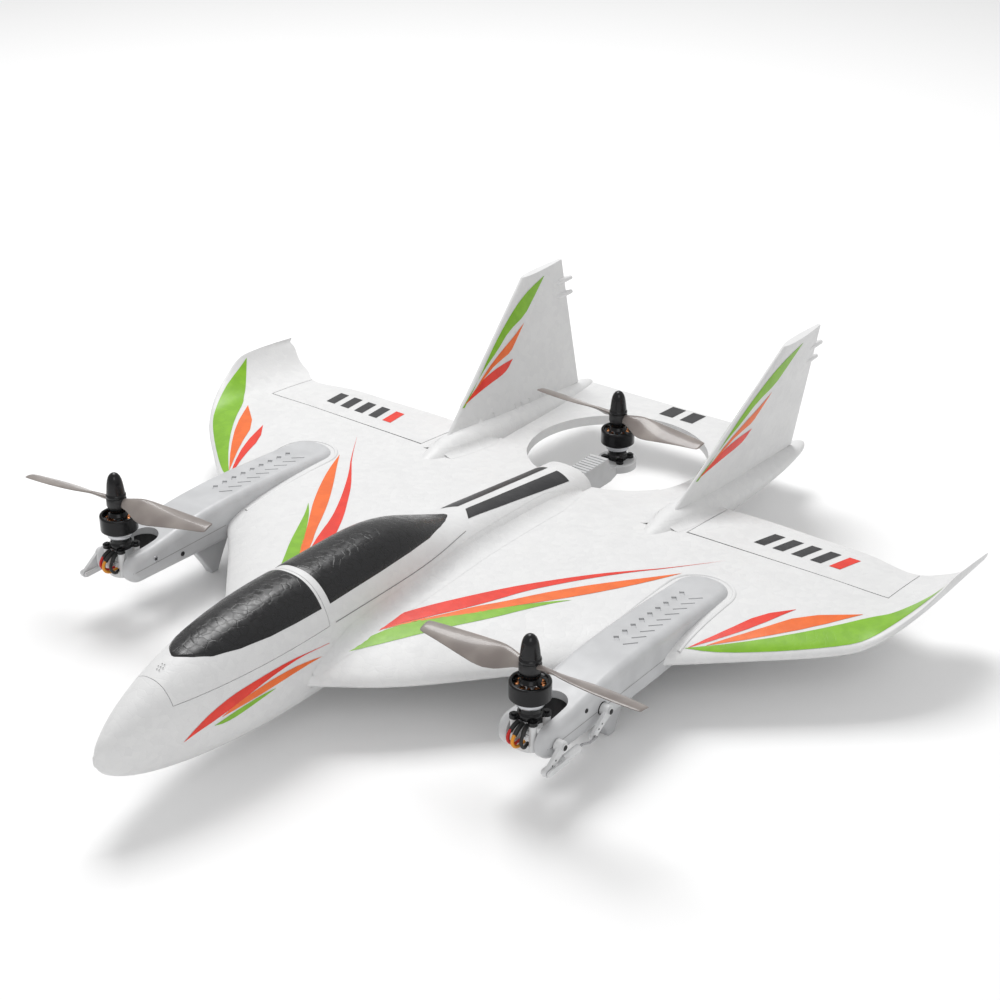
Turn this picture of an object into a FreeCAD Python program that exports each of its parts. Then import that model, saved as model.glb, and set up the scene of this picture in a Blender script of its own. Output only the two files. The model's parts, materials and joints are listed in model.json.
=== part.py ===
import FreeCAD, Part
import math
import os

# Tri-rotor tilt-wing model aeroplane in moulded foam, millimetres.
# Design axes: +X to the left wing, +Y aft, +Z up. The design origin is the
# crossing of the tilt axis with the centre plane. Every piece is moved at the
# end, so that the whole stands on Z = 0 with its plan centred on X = Y = 0.

# ---- overall sizes -------------------------------------------------------
HALF_SPAN = 225.0
NOSE_LENGTH = 131.0
TAIL_LENGTH = 328.0
GROUND_DROP = 31.0

# ---- fuselage ------------------------------------------------------------
FUSELAGE_HALF_WIDTH = 23.0
CANOPY_TOP = 41.3
BELLY = -19.0
NOSE_HEIGHT = 8.0
NOSE_TAPER = 110.0
SECTION_POWER = 2.35
SECTION_WAIST = 0.42
FOAM_WALL = 5.0
SEAM_HEIGHT = 20.5
HATCH_FRONT = -97.0
HATCH_REAR = -10.0
HATCH_GAP = 0.3
CANOPY_FALL_START = 20.0
CANOPY_REAR = 104.0
DECK_FRONT_HEIGHT = 23.0
DECK_REAR_HEIGHT = 11.0
TAIL_HALF_WIDTH = 16.0
TAIL_BOTTOM = -12.0
BAY_FRONT = -108.0
BAY_REAR = 188.0
POCKET_HALF_WIDTH = 13.5
BATTERY_FRONT = -58.0
BOARD_FRONT = 24.0

# ---- wing ----------------------------------------------------------------
WING_ROOT_X = 14.0
WING_TRAILING_Y = 224.5
WINGLET_WIDTH = 25.0
WINGLET_RISE = 19.0
AILERON_INNER_X = 86.0
AILERON_TIP_MARGIN = 27.0
HINGE_Y = 184.0
HINGE_GAP = 0.5
AILERON_BEVEL_DEG = 30.0
SPAR_RADIUS = 2.0
SPAR_Y = 112.0
SPAR_Z = 0.5

# ---- tail ----------------------------------------------------------------
TAIL_ROTOR_Y = 249.7
TAIL_OPENING_RADIUS = 50.0
BOOM_X = 72.0
BOOM_HALF_WIDTH = 10.0
BOOM_FRONT = 158.0
FIN_HEIGHT = 74.0
FIN_FOOT_FRONT_Y = 179.3
FIN_REAR_Y = 313.0
FIN_TIP_CHORD = 38.0
FIN_CANT_DEG = 9.8
FIN_ROOT_THICKNESS = 7.0
FIN_TIP_THICKNESS = 4.0
FIN_ROD_RADIUS = 1.3
STABILISER_REAR = 325.0
STABILISER_TOP = -2.5
STABILISER_THICKNESS = 5.5

# ---- nacelle and tilting mount ---------------------------------------------
NACELLE_X = 125.0
NACELLE_WIDTH = 27.0
NACELLE_REAR = 147.0
NACELLE_WALL = 1.4
VENT_DEPTH = 0.8
VENT_FRONT_Y = 67.4
VENT_PITCH = 6.8
PRONG_RADIUS = 7.5
FORK_GAP = 15.0
FORK_DEPTH = 22.0
SIDE_CLEARANCE = 0.3
AXLE_RADIUS = 1.5
RUNNING_CLEARANCE = 0.05
LEG_THICKNESS = 6.0
LEG_FOOT_Y = 58.0
LEG_FOOT_RADIUS = 4.5
POST_RADIUS = 1.7
POST_CIRCLE = 7.0
CROSS_UNDERSIDE = 8.9
CROSS_THICKNESS = 1.8

# ---- linkage -------------------------------------------------------------
LEVER_LENGTH = 13.2
LEVER_REST_DEG = 32.0
LEVER_THICKNESS = 1.6
LEVER_STANDOFF = 2.3
LEVER_HUB_RADIUS = 2.8
LEVER_TIP_RADIUS = 1.8
WIRE_RADIUS = 0.6
SERVO_PIVOT_Y = 34.0
SERVO_LENGTH = 20.0
SERVO_THICKNESS = 8.2
SERVO_HEIGHT = 20.0
AILERON_LEVER = 15.0
AILERON_SERVO_Y = 146.0
AILERON_SERVO_Z = -2.5
AILERON_LINK_X = 105.75

# ---- motor and propeller ---------------------------------------------------
CAN_RADIUS = 9.2
CAN_WALL = 0.9
CAN_HEIGHT = 11.2
CAN_CLEARANCE = 0.6
STATOR_RADIUS = 7.7
SHAFT_RADIUS = 1.0
TOOTH_COUNT = 9
COLLAR_RADIUS = 4.6
COLLAR_HEIGHT = 6.8
HUB_RADIUS = 5.0
HUB_HEIGHT = 5.0
SPINNER_HEIGHT = 13.9
PROP_RADIUS = 56.5
PROP_PITCH = 76.0
PROP_CHORD = 14.0
PROP_TIP_CHORD = 7.0
PROP_THICKNESS = 1.5

FULL = 400.0
ORIGIN_SHIFT = FreeCAD.Vector(0, (NOSE_LENGTH - TAIL_LENGTH) / 2, GROUND_DROP)
X_AXIS = FreeCAD.Vector(1, 0, 0)
Y_AXIS = FreeCAD.Vector(0, 1, 0)
Z_AXIS = FreeCAD.Vector(0, 0, 1)

pieces = {}


# ---- helpers ---------------------------------------------------------------
def point(x, y, z):
    return FreeCAD.Vector(x, y, z)


def box(x0, x1, y0, y1, z0, z1):
    return Part.makeBox(x1 - x0, y1 - y0, z1 - z0, point(x0, y0, z0))


def rod(x, y, z, radius, length, axis=Z_AXIS):
    return Part.makeCylinder(radius, length, point(x, y, z), axis)


def closed_curve(points):
    curve = Part.BSplineCurve()
    curve.interpolate(points, PeriodicFlag=True)
    return Part.Wire([curve.toShape()])


def open_curve(points):
    curve = Part.BSplineCurve()
    curve.interpolate(points)
    return curve.toShape()


def polygon_prism(points, direction):
    outline = Part.makePolygon(points + [points[0]])
    return Part.Face(outline).extrude(direction)


def fuse(shapes):
    joined = shapes[0].multiFuse(shapes[1:])
    return joined.removeSplitter()


def mirrored(shape):
    return shape.mirror(point(0, 0, 0), X_AXIS)


def largest_solid(shape):
    return max(shape.Solids, key=lambda solid: solid.Volume)


def between(value, low, high):
    return max(low, min(high, value))


def ease(share):
    """0 to 1 with a level start and a level end."""
    share = between(share, 0.0, 1.0)
    return share * share * (3 - 2 * share)


def interpolate(table, x):
    """Rows of a table by their first value, joined with straight lines."""
    for near, far in zip(table, table[1:]):
        if x <= far[0]:
            break
    share = (x - near[0]) / (far[0] - near[0])
    return [a + (b - a) * share for a, b in zip(near[1:], far[1:])]


def add_pair(name, shape):
    """The left piece as modelled and the right one as its mirror image."""
    pieces[name + "_left"] = shape
    pieces[name + "_right"] = mirrored(shape)


# ---- fuselage ----------------------------------------------------------------
def nose_growth(y, power):
    share = between((y + NOSE_LENGTH) / NOSE_TAPER, 0.004, 1.0)
    return (1 - (1 - share) ** 2) ** power


def fuselage_size(y):
    """Top, bottom and half width of the fuselage section at y."""
    top = NOSE_HEIGHT + (CANOPY_TOP - NOSE_HEIGHT) * nose_growth(y, 0.66)
    bottom = NOSE_HEIGHT + (BELLY - NOSE_HEIGHT) * nose_growth(y, 0.40)
    half = FUSELAGE_HALF_WIDTH * nose_growth(y, 0.68)
    deck_share = (y - CANOPY_REAR) / (tail_face() - CANOPY_REAR)
    if y > CANOPY_REAR:
        top = DECK_FRONT_HEIGHT + (DECK_REAR_HEIGHT - DECK_FRONT_HEIGHT) * deck_share
    elif y > CANOPY_FALL_START:
        fall = (y - CANOPY_FALL_START) / (CANOPY_REAR - CANOPY_FALL_START)
        top = CANOPY_TOP - (CANOPY_TOP - DECK_FRONT_HEIGHT) * ease(fall ** 1.6)
    aft = ease((y - CANOPY_FALL_START) / (tail_face() - CANOPY_FALL_START))
    half += (TAIL_HALF_WIDTH - FUSELAGE_HALF_WIDTH) * aft
    bottom += (TAIL_BOTTOM - BELLY) * aft
    return top, bottom, half


def tail_face():
    return TAIL_ROTOR_Y - TAIL_OPENING_RADIUS + 3.0


def fuselage_wire(y, wall):
    top, bottom, half = fuselage_size(y)
    waist = bottom + SECTION_WAIST * (top - bottom)
    count = 28
    outline = []
    for step in range(count):
        angle = 2 * math.pi * step / count
        across = math.copysign(abs(math.cos(angle)) ** (2 / SECTION_POWER), math.cos(angle))
        rise = math.copysign(abs(math.sin(angle)) ** (2 / SECTION_POWER), math.sin(angle))
        reach = (top - wall - waist) if rise > 0 else (waist - bottom - wall)
        outline.append(point((half - wall) * across, y, waist + reach * rise))
    return closed_curve(outline)


def fuselage_block(stations, wall):
    return Part.makeLoft([fuselage_wire(y, wall) for y in stations], True, False)


def fuselage_stations():
    """Section places: close together at the nose, evenly spaced behind it."""
    nose = [-NOSE_LENGTH + step for step in (0, 0.8, 2.5, 6, 12, 22, 36, 52, 70, 90)]
    count = 16
    start = nose[-1]
    spacing = (tail_face() - start) / count
    return nose + [start + spacing * step for step in range(1, count + 1)]


def tail_opening():
    return rod(0, TAIL_ROTOR_Y, -FULL / 2, TAIL_OPENING_RADIUS, FULL)


def make_fuselage(outer, cavity, bracket, spar):
    """Foam hull, lift-off hatch and fixed rear canopy, cut from one outer form."""
    seam_box = box(-FULL, FULL, HATCH_FRONT, CANOPY_REAR, SEAM_HEIGHT, FULL)
    shell = outer.cut([cavity, equipment_pocket(), seam_box, tail_opening(), bracket, spar])
    pieces["fuselage"] = largest_solid(shell)
    hatch_box = box(-FULL, FULL, HATCH_FRONT + HATCH_GAP, HATCH_REAR,
                    SEAM_HEIGHT + HATCH_GAP, FULL)
    hatch = outer.common(hatch_box).cut(cavity)
    canopy_box = box(-FULL, FULL, HATCH_REAR + HATCH_GAP, CANOPY_REAR, SEAM_HEIGHT, FULL)
    canopy = outer.common(canopy_box).cut(cavity)
    magnets = [hatch_magnet(side, y) for side in (-1, 1) for y in (-60.0, -25.0)]
    pieces["battery_hatch"] = largest_solid(hatch.cut(magnets))
    pieces["rear_canopy"] = largest_solid(canopy)
    pieces["hatch_magnets"] = Part.Compound(magnets)


def hatch_magnet(side, y):
    magnet_radius = 1.6
    magnet_height = 1.5
    half = fuselage_size(y)[2]
    rim_middle = half - 1.2 - FOAM_WALL / 2
    return rod(side * rim_middle, y, SEAM_HEIGHT + HATCH_GAP, magnet_radius, magnet_height)


def bay_floor():
    return BELLY + FOAM_WALL + 5.0


def equipment_pocket():
    """Flat-floored pocket for the battery and the flight board."""
    return box(-POCKET_HALF_WIDTH, POCKET_HALF_WIDTH, BATTERY_FRONT - 1.0, BOARD_FRONT + 39.0,
               bay_floor(), SEAM_HEIGHT)


def make_battery():
    length, height = 66.0, 16.0
    half = POCKET_HALF_WIDTH - 1.0
    floor = bay_floor()
    pack = box(-half, half, BATTERY_FRONT, BATTERY_FRONT + length, floor, floor + height)
    pieces["battery"] = pack.makeFillet(2.5, pack.Edges)


def make_flight_board():
    half = POCKET_HALF_WIDTH - 0.5
    front = BOARD_FRONT
    rear = front + 38.0
    under = bay_floor() + 3.0
    face = under + 1.6
    board = box(-half, half, front, rear, under, face)
    posts = [rod(x, y, under - 3.0, 1.6, 3.0)
             for x in (2.0 - half, half - 2.0) for y in (front + 2.0, rear - 2.0)]
    chips = [
        box(-5, 5, front + 10, front + 20, face, face + 1.6),
        box(1.5 - half, 6.5 - half, front + 24, front + 34, face, face + 4.0),
        box(half - 9, half - 1, front + 26, front + 34, face, face + 1.4),
        box(half - 6, half - 1, front + 4, front + 20, face, face + 6.0),
    ]
    pieces["flight_board"] = fuse([board] + posts + chips)


# ---- wing --------------------------------------------------------------------
# Each row: distance from the centre plane, leading edge y, trailing edge y,
# chord line height at the leading edge and at the trailing edge, bulge above
# and below the chord line, and the thickness of the trailing edge.
def wing_table():
    base = HALF_SPAN - WINGLET_WIDTH
    rise = WINGLET_RISE
    end = WING_TRAILING_Y
    return [
        [WING_ROOT_X, -36.0, end, -1.0, -3.0, 12.5, 7.0, 3.6],
        [24.0, -26.0, end, -1.5, -3.0, 12.0, 6.5, 3.6],
        [45.0, -9.5, end, -2.5, -2.6, 11.5, 6.0, 3.4],
        [80.0, 26.5, end, -3.0, -0.8, 10.5, 5.2, 2.4],
        [112.0, 59.0, end, -2.6, 0.2, 9.0, 4.8, 1.8],
        [145.0, 88.0, end - 1.5, -2.2, 0.6, 8.0, 4.6, 1.8],
        [175.0, 113.0, end - 3.5, -1.4, 0.8, 6.9, 4.3, 1.8],
        [base, 134.5, end - 4.5, 0.0, 0.8, 5.4, 3.8, 1.8],
        [base + 0.28 * WINGLET_WIDTH, 142.0, end + 0.8, 1.4, 1.4, 5.0, 3.4, 1.8],
        [base + 0.52 * WINGLET_WIDTH, 150.5, end + 2.4, 0.26 * rise, 0.20 * rise, 4.6, 3.0, 1.8],
        [base + 0.74 * WINGLET_WIDTH, 162.0, end + 4.0, 0.53 * rise, 0.44 * rise, 3.4, 2.6, 1.7],
        [base + 0.90 * WINGLET_WIDTH, 174.5, end + 5.4, 0.80 * rise, 0.68 * rise, 2.4, 2.0, 1.5],
        [HALF_SPAN, 188.0, end + 6.5, 1.05 * rise, 0.90 * rise, 1.2, 1.0, 1.2],
    ]


def foil_bulge(share):
    """Thickness of a classic symmetric foil along its chord, 1 at its fullest."""
    root = 0.2969 * math.sqrt(share)
    body = 0.126 * share + 0.3516 * share ** 2 - 0.2843 * share ** 3 + 0.1036 * share ** 4
    return 10 * (root - body)


FOIL_SHARES = [0, 0.006, 0.025, 0.07, 0.15, 0.28, 0.45, 0.62, 0.80, 1.0]


def wing_heights(x, y):
    """Upper and lower skin height of the wing at a point of its plan."""
    front, rear, z_front, z_rear, above, below, edge = interpolate(wing_table(), x)
    share = between((y - front) / (rear - front), 0, 1)
    middle = z_front + (z_rear - z_front) * share
    bulge = foil_bulge(share)
    return middle + above * bulge + edge / 2 * share, middle - below * bulge - edge / 2 * share


def wing_wire(x):
    front, rear = interpolate(wing_table(), x)[:2]
    stations = [front + (rear - front) * share for share in FOIL_SHARES]
    upper = [point(x, y, wing_heights(x, y)[0]) for y in stations]
    lower = [point(x, y, wing_heights(x, y)[1]) for y in stations]
    edge = Part.makeLine(lower[-1], upper[-1])
    return Part.Wire([open_curve(upper[::-1]), open_curve(lower), edge])


def hinge_height():
    """Height of the hinge axis, level with the highest skin along the hinge."""
    outer = HALF_SPAN - AILERON_TIP_MARGIN
    count = 8
    places = [AILERON_INNER_X + (outer - AILERON_INNER_X) * step / count
              for step in range(count + 1)]
    return max(wing_heights(x, HINGE_Y)[0] for x in places) + 0.1


def aileron_space(inner_x, outer_x, gap):
    """Prism behind the hinge line, bevelled below it for downward travel."""
    top = 30.0
    depth = 30.0
    slope = math.tan(math.radians(AILERON_BEVEL_DEG)) if gap else 0.0
    front = HINGE_Y + gap
    hinge = hinge_height()
    outline = [
        point(inner_x, front, hinge + top),
        point(inner_x, front, hinge),
        point(inner_x, front + depth * slope, hinge - depth),
        point(inner_x, front + FULL, hinge - depth),
        point(inner_x, front + FULL, hinge + top),
    ]
    return polygon_prism(outline, X_AXIS * (outer_x - inner_x))


def aileron_servo_pocket():
    inner = AILERON_LINK_X - LEVER_THICKNESS / 2 - 0.4 - SERVO_HEIGHT
    half = SERVO_THICKNESS / 2 + 0.1
    top = AILERON_SERVO_Z + half
    return box(inner, AILERON_LINK_X + 3.2, AILERON_SERVO_Y - 6.2,
               AILERON_SERVO_Y + SERVO_LENGTH - 5.8, -FULL, top)


def make_wings(fuselage, boom, nacelle, spar):
    blank = Part.makeLoft([wing_wire(row[0]) for row in wing_table()], True, False)
    blank = blank.cut(boom)
    outer_x = HALF_SPAN - AILERON_TIP_MARGIN
    flap_space = aileron_space(AILERON_INNER_X + HINGE_GAP, outer_x - HINGE_GAP, HINGE_GAP)
    aileron = largest_solid(blank.common(flap_space))
    wing = blank.cut([fuselage, nacelle, tail_opening(), spar, aileron_servo_pocket(),
                      aileron_space(AILERON_INNER_X, outer_x, 0.0)])
    add_pair("wing", largest_solid(wing))
    horn_foot = aileron_horn_blank()
    add_pair("aileron", largest_solid(aileron.cut(horn_foot)))
    add_pair("aileron_horn", aileron_horn(horn_foot))


# ---- aileron linkage -----------------------------------------------------------
def lever_plate(x, y, z, angle_deg, length):
    """Flat lever across X, from its hub at (y, z) to a tip hole at a rest angle."""
    angle = math.radians(angle_deg)
    tip_y = y + length * math.cos(angle)
    tip_z = z + length * math.sin(angle)
    start = x - LEVER_THICKNESS / 2
    hub = rod(start, y, z, LEVER_HUB_RADIUS, LEVER_THICKNESS, X_AXIS)
    tip = rod(start, tip_y, tip_z, LEVER_TIP_RADIUS, LEVER_THICKNESS, X_AXIS)
    across_y = -math.sin(angle)
    across_z = math.cos(angle)
    wide = LEVER_HUB_RADIUS * 0.8
    slim = LEVER_TIP_RADIUS * 0.9
    blade = polygon_prism([
        point(start, y + across_y * wide, z + across_z * wide),
        point(start, tip_y + across_y * slim, tip_z + across_z * slim),
        point(start, tip_y - across_y * slim, tip_z - across_z * slim),
        point(start, y - across_y * wide, z - across_z * wide),
    ], X_AXIS * LEVER_THICKNESS)
    hole_start = start - 1.0
    hole = rod(hole_start, tip_y, tip_z, WIRE_RADIUS + RUNNING_CLEARANCE,
               LEVER_THICKNESS + 2.0, X_AXIS)
    return fuse([hub, blade, tip]).cut(hole)


def servo(x, y, z):
    """Small servo lying on its side, its output shaft along +X ending at x."""
    half = SERVO_THICKNESS / 2
    case_end = x - 0.4
    case = box(case_end - SERVO_HEIGHT, case_end, y - 6.0, y + SERVO_LENGTH - 6.0,
               z - half, z + half)
    case = case.makeFillet(0.8, case.Edges)
    spindle = rod(case_end - 0.5, y, z, 1.2, 0.8, X_AXIS)
    return fuse([case, spindle])


def aileron_horn_blank():
    hinge = hinge_height()
    start = AILERON_LINK_X - LEVER_THICKNESS / 2
    low = hinge - AILERON_LEVER
    return polygon_prism([
        point(start, HINGE_Y - LEVER_TIP_RADIUS * 0.7, low - LEVER_TIP_RADIUS * 0.7),
        point(start, HINGE_Y - LEVER_TIP_RADIUS * 0.7, low + LEVER_TIP_RADIUS * 0.7),
        point(start, HINGE_Y + 8.0, hinge - 5.5),
        point(start, HINGE_Y + 8.0, hinge - 3.5),
        point(start, HINGE_Y + 14.0, hinge - 3.5),
        point(start, HINGE_Y + 14.0, hinge - 7.5),
        point(start, HINGE_Y + LEVER_TIP_RADIUS * 0.9, low - LEVER_TIP_RADIUS * 0.7),
    ], X_AXIS * LEVER_THICKNESS)


def aileron_horn(blank):
    start = AILERON_LINK_X - LEVER_THICKNESS / 2
    low = hinge_height() - AILERON_LEVER
    hole = rod(start - 1.0, HINGE_Y, low, WIRE_RADIUS + RUNNING_CLEARANCE,
               LEVER_THICKNESS + 2.0, X_AXIS)
    return blank.cut(hole)


def peg_rod(plate_x, rear, front):
    """Wire with a bent peg at each end, run beside the two lever plates."""
    wire_x = plate_x + LEVER_THICKNESS / 2 + WIRE_RADIUS + 0.5
    peg_start = plate_x - LEVER_THICKNESS / 2 - 0.4
    span = front - rear
    line = Part.makeCylinder(WIRE_RADIUS, span.Length, point(wire_x, rear.y, rear.z), span)
    parts = [line]
    for end in (rear, front):
        parts.append(rod(peg_start, end.y, end.z, WIRE_RADIUS, wire_x - peg_start, X_AXIS))
        parts.append(Part.makeSphere(WIRE_RADIUS, point(wire_x, end.y, end.z)))
    return fuse(parts)


def make_aileron_linkage():
    arm_tip = point(0, AILERON_SERVO_Y, AILERON_SERVO_Z - AILERON_LEVER)
    horn_tip = point(0, HINGE_Y, hinge_height() - AILERON_LEVER)
    add_pair("aileron_servo_arm",
             lever_plate(AILERON_LINK_X, AILERON_SERVO_Y, AILERON_SERVO_Z, -90.0, AILERON_LEVER))
    add_pair("aileron_pushrod", peg_rod(AILERON_LINK_X, arm_tip, horn_tip))
    unit = servo(AILERON_LINK_X - LEVER_THICKNESS / 2, AILERON_SERVO_Y, AILERON_SERVO_Z)
    pieces["aileron_servos"] = Part.Compound([unit, mirrored(unit)])


# ---- booms, fins and stabiliser --------------------------------------------------
# Each row: distance behind the front of the boom, top, bottom, half width.
def boom_table():
    half = BOOM_HALF_WIDTH
    length = TAIL_LENGTH - BOOM_FRONT
    return [
        [0.0, 2.0, -3.5, 0.25 * half],
        [9.0, 4.4, -7.0, 0.55 * half],
        [22.0, 8.0, -10.5, 0.85 * half],
        [36.0, 10.2, -12.2, half],
        [0.42 * length, 8.4, -12.6, 1.04 * half],
        [0.64 * length, 4.8, -11.6, half],
        [0.82 * length, 1.4, -9.8, 0.86 * half],
        [0.93 * length, -1.0, -8.4, 0.58 * half],
        [0.985 * length, -2.8, -7.0, 0.28 * half],
        [length, -4.2, -5.8, 0.10 * half],
    ]


def oval_wire(x, y, top, bottom, half):
    middle = (top + bottom) / 2
    count = 20
    outline = []
    for step in range(count):
        angle = 2 * math.pi * step / count
        outline.append(point(x + half * math.cos(angle), y,
                             middle + (top - bottom) / 2 * math.sin(angle)))
    return closed_curve(outline)


def boom_block():
    wires = [oval_wire(BOOM_X, BOOM_FRONT + row[0], row[1], row[2], row[3])
             for row in boom_table()]
    return Part.makeLoft(wires, True, False)


def fin_wire(height, front, rear, thickness):
    x = BOOM_X + height * math.tan(math.radians(FIN_CANT_DEG))
    stations = [front + (rear - front) * share for share in FOIL_SHARES]
    halves = [thickness / 2 * foil_bulge(share) + 0.9 * share for share in FOIL_SHARES]
    outside = [point(x + half, y, height) for y, half in zip(stations, halves)]
    inside = [point(x - half, y, height) for y, half in zip(stations, halves)]
    edge = Part.makeLine(inside[-1], outside[-1])
    return Part.Wire([open_curve(outside[::-1]), open_curve(inside), edge])


def fin_rod(height, reach):
    x = BOOM_X + height * math.tan(math.radians(FIN_CANT_DEG))
    start = FIN_REAR_Y - 6.0
    stem = rod(x, start, height, FIN_ROD_RADIUS, reach - start, Y_AXIS)
    tip = Part.makeSphere(FIN_ROD_RADIUS, point(x, reach, height))
    return stem.fuse(tip)


def make_tail(boom):
    foot = fin_wire(-4.0, FIN_FOOT_FRONT_Y - 5.0, FIN_REAR_Y, FIN_ROOT_THICKNESS)
    tip = fin_wire(FIN_HEIGHT, FIN_REAR_Y - FIN_TIP_CHORD, FIN_REAR_Y, FIN_TIP_THICKNESS)
    blade = Part.makeLoft([foot, tip], True, True)
    rods = [fin_rod(FIN_HEIGHT - 13.0, FIN_REAR_Y + 7.0), fin_rod(FIN_HEIGHT - 21.0, FIN_REAR_Y + 5.5)]
    fin = fuse([blade] + rods).cut(boom)
    fin = fin.cut(box(0, HALF_SPAN, 0, FULL, -FULL, 0))
    add_pair("fin", largest_solid(fin))
    add_pair("boom", boom)
    front_top = STABILISER_TOP + 1.0
    low = STABILISER_TOP - STABILISER_THICKNESS
    profile = polygon_prism([
        point(-BOOM_X, WING_TRAILING_Y, front_top),
        point(-BOOM_X, STABILISER_REAR - 22.0, STABILISER_TOP),
        point(-BOOM_X, STABILISER_REAR, STABILISER_TOP - 1.6),
        point(-BOOM_X, STABILISER_REAR, STABILISER_TOP - 3.4),
        point(-BOOM_X, STABILISER_REAR - 22.0, low),
        point(-BOOM_X, WING_TRAILING_Y, low + 1.0),
    ], X_AXIS * (2 * BOOM_X))
    plate = profile.cut([boom, mirrored(boom), tail_opening()])
    pieces["stabiliser"] = largest_solid(plate)


# ---- nacelle ---------------------------------------------------------------------
def nacelle_outline(inset):
    """Side outline of the nacelle in the plane of its inner wall, moved in by inset."""
    x = NACELLE_X - NACELLE_WIDTH / 2 + inset
    radius = PRONG_RADIUS - inset
    rear = NACELLE_REAR - inset
    rear_top = 9.0 - inset
    rear_bottom = -7.2 + inset
    upper = open_curve([
        point(x, 0, radius),
        point(x, 12, 8.0 - inset),
        point(x, 34, 11.4 - inset),
        point(x, 62, 13.2 - inset),
        point(x, 100, 12.2 - inset),
        point(x, 125, 10.6 - inset),
        point(x, rear, rear_top),
    ])
    lower = open_curve([
        point(x, rear, rear_bottom),
        point(x, 115, -8.6 + inset),
        point(x, 70, -9.4 + inset),
        point(x, 30, -8.4 + inset),
        point(x, 0, -radius),
    ])
    front = Part.Arc(point(x, 0, -radius), point(x, -radius, 0), point(x, 0, radius)).toShape()
    back = Part.makeLine(point(x, rear, rear_top), point(x, rear, rear_bottom))
    return Part.Wire([upper, back, lower, front])


def nacelle_block(inset):
    width = NACELLE_WIDTH - 2 * inset
    block = Part.Face(nacelle_outline(inset)).extrude(X_AXIS * width)
    rear = block.BoundBox.YMax
    rear_edges = [edge for edge in block.Edges
                  if edge.BoundBox.YMin > rear - 0.1 and edge.BoundBox.XLength < 0.1]
    block = block.makeFillet(width / 2 - 1.0, rear_edges)
    if inset:
        return block
    top_edges = [edge for edge in block.Edges
                 if edge.BoundBox.YLength > 100.0 and edge.CenterOfMass.z > 0]
    return block.makeFillet(4.0, top_edges)


def fork_recess():
    radius = FORK_GAP / 2
    slot = box(NACELLE_X - radius, NACELLE_X + radius, -FULL, FORK_DEPTH - radius, -FULL, FULL)
    end = rod(NACELLE_X, FORK_DEPTH - radius, -FULL, radius, 2 * FULL)
    return fuse([slot, end])


def vent_slots():
    """Chevrons of one wide pocket and one thin slot, sunk into the top wall."""
    core = nacelle_block(VENT_DEPTH)
    cuts = []
    count = 9
    legs = [(-2.1, 4.2, 2.4, -50.0), (5.4, 6.8, 0.9, 48.0)]
    for step in range(count):
        y = VENT_FRONT_Y + VENT_PITCH * step
        for offset, length, width, turn_deg in legs:
            x = NACELLE_X + offset
            cut = box(x - length / 2, x + length / 2, y - width / 2, y + width / 2, 0, FULL)
            cut.rotate(point(x, y, 0), Z_AXIS, turn_deg)
            cuts.append(cut.cut(core))
    return cuts


def nacelle_bores():
    """Holes for the tilt axle, the servo spindle and the inner axle stub."""
    fit = AXLE_RADIUS + RUNNING_CLEARANCE
    inner_wall = NACELLE_X - NACELLE_WIDTH / 2
    spindle_hole = 3.2
    return [
        rod(inner_wall + 1.5, 0, 0, fit, NACELLE_WIDTH, X_AXIS),
        rod(NACELLE_X, SERVO_PIVOT_Y, 0, spindle_hole, NACELLE_WIDTH, X_AXIS),
    ]


def landing_leg(x, foot_y, front_top, rear_top, top):
    """Rounded triangular blade with a small flat under its foot."""
    bottom = -GROUND_DROP
    radius = LEG_FOOT_RADIUS
    half = LEG_THICKNESS / 2
    outline = polygon_prism([
        point(x - half, front_top, top),
        point(x - half, foot_y - radius, bottom + radius),
        point(x - half, foot_y - radius * 0.5, bottom),
        point(x - half, foot_y + radius * 0.5, bottom),
        point(x - half, foot_y + radius, bottom + radius),
        point(x - half, rear_top, top),
    ], X_AXIS * LEG_THICKNESS)
    side_edges = [edge for edge in outline.Edges
                  if edge.BoundBox.XLength < 0.01 and edge.BoundBox.ZMax < top - 0.01
                  or edge.BoundBox.XLength < 0.01 and edge.BoundBox.ZLength > 5.0]
    return outline.makeFillet(1.2, side_edges)


def make_nacelles(outer):
    inner = nacelle_block(NACELLE_WALL)
    room = inner.cut(box(0, HALF_SPAN, -FULL, FORK_DEPTH + NACELLE_WALL, -FULL, FULL))
    shell = outer.cut([fork_recess(), room] + nacelle_bores())
    leg = landing_leg(NACELLE_X, LEG_FOOT_Y, 40.0, 75.0, -5.0)
    above = box(0, HALF_SPAN, -FULL, FULL, 0, FULL)
    below = box(0, HALF_SPAN, -FULL, FULL, -FULL, 0)
    left_top = largest_solid(shell.common(above))
    vents = vent_slots()
    mirrored_vents = []
    for cut in vents:
        moved = cut.copy()
        moved.translate(point(-2 * NACELLE_X, 0, 0))
        mirrored_vents.append(moved)
    pieces["nacelle_upper_left"] = left_top.cut(vents)
    pieces["nacelle_upper_right"] = mirrored(left_top).cut(mirrored_vents)
    add_pair("nacelle_lower", largest_solid(shell.common(below)))
    add_pair("landing_leg", largest_solid(leg.cut(outer)))
    shaft_x = NACELLE_X + NACELLE_WIDTH / 2 + LEVER_STANDOFF
    case_end = NACELLE_X + NACELLE_WIDTH / 2 - NACELLE_WALL - 0.3
    case = box(case_end - SERVO_HEIGHT, case_end, SERVO_PIVOT_Y - 6.0,
               SERVO_PIVOT_Y + SERVO_LENGTH - 6.0, -SERVO_THICKNESS / 2, SERVO_THICKNESS / 2)
    case = case.makeFillet(0.8, case.Edges)
    spindle = rod(case_end - 0.5, SERVO_PIVOT_Y, 0, 2.4, shaft_x - case_end + 0.1, X_AXIS)
    add_pair("tilt_servo", fuse([case, spindle]))


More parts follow.
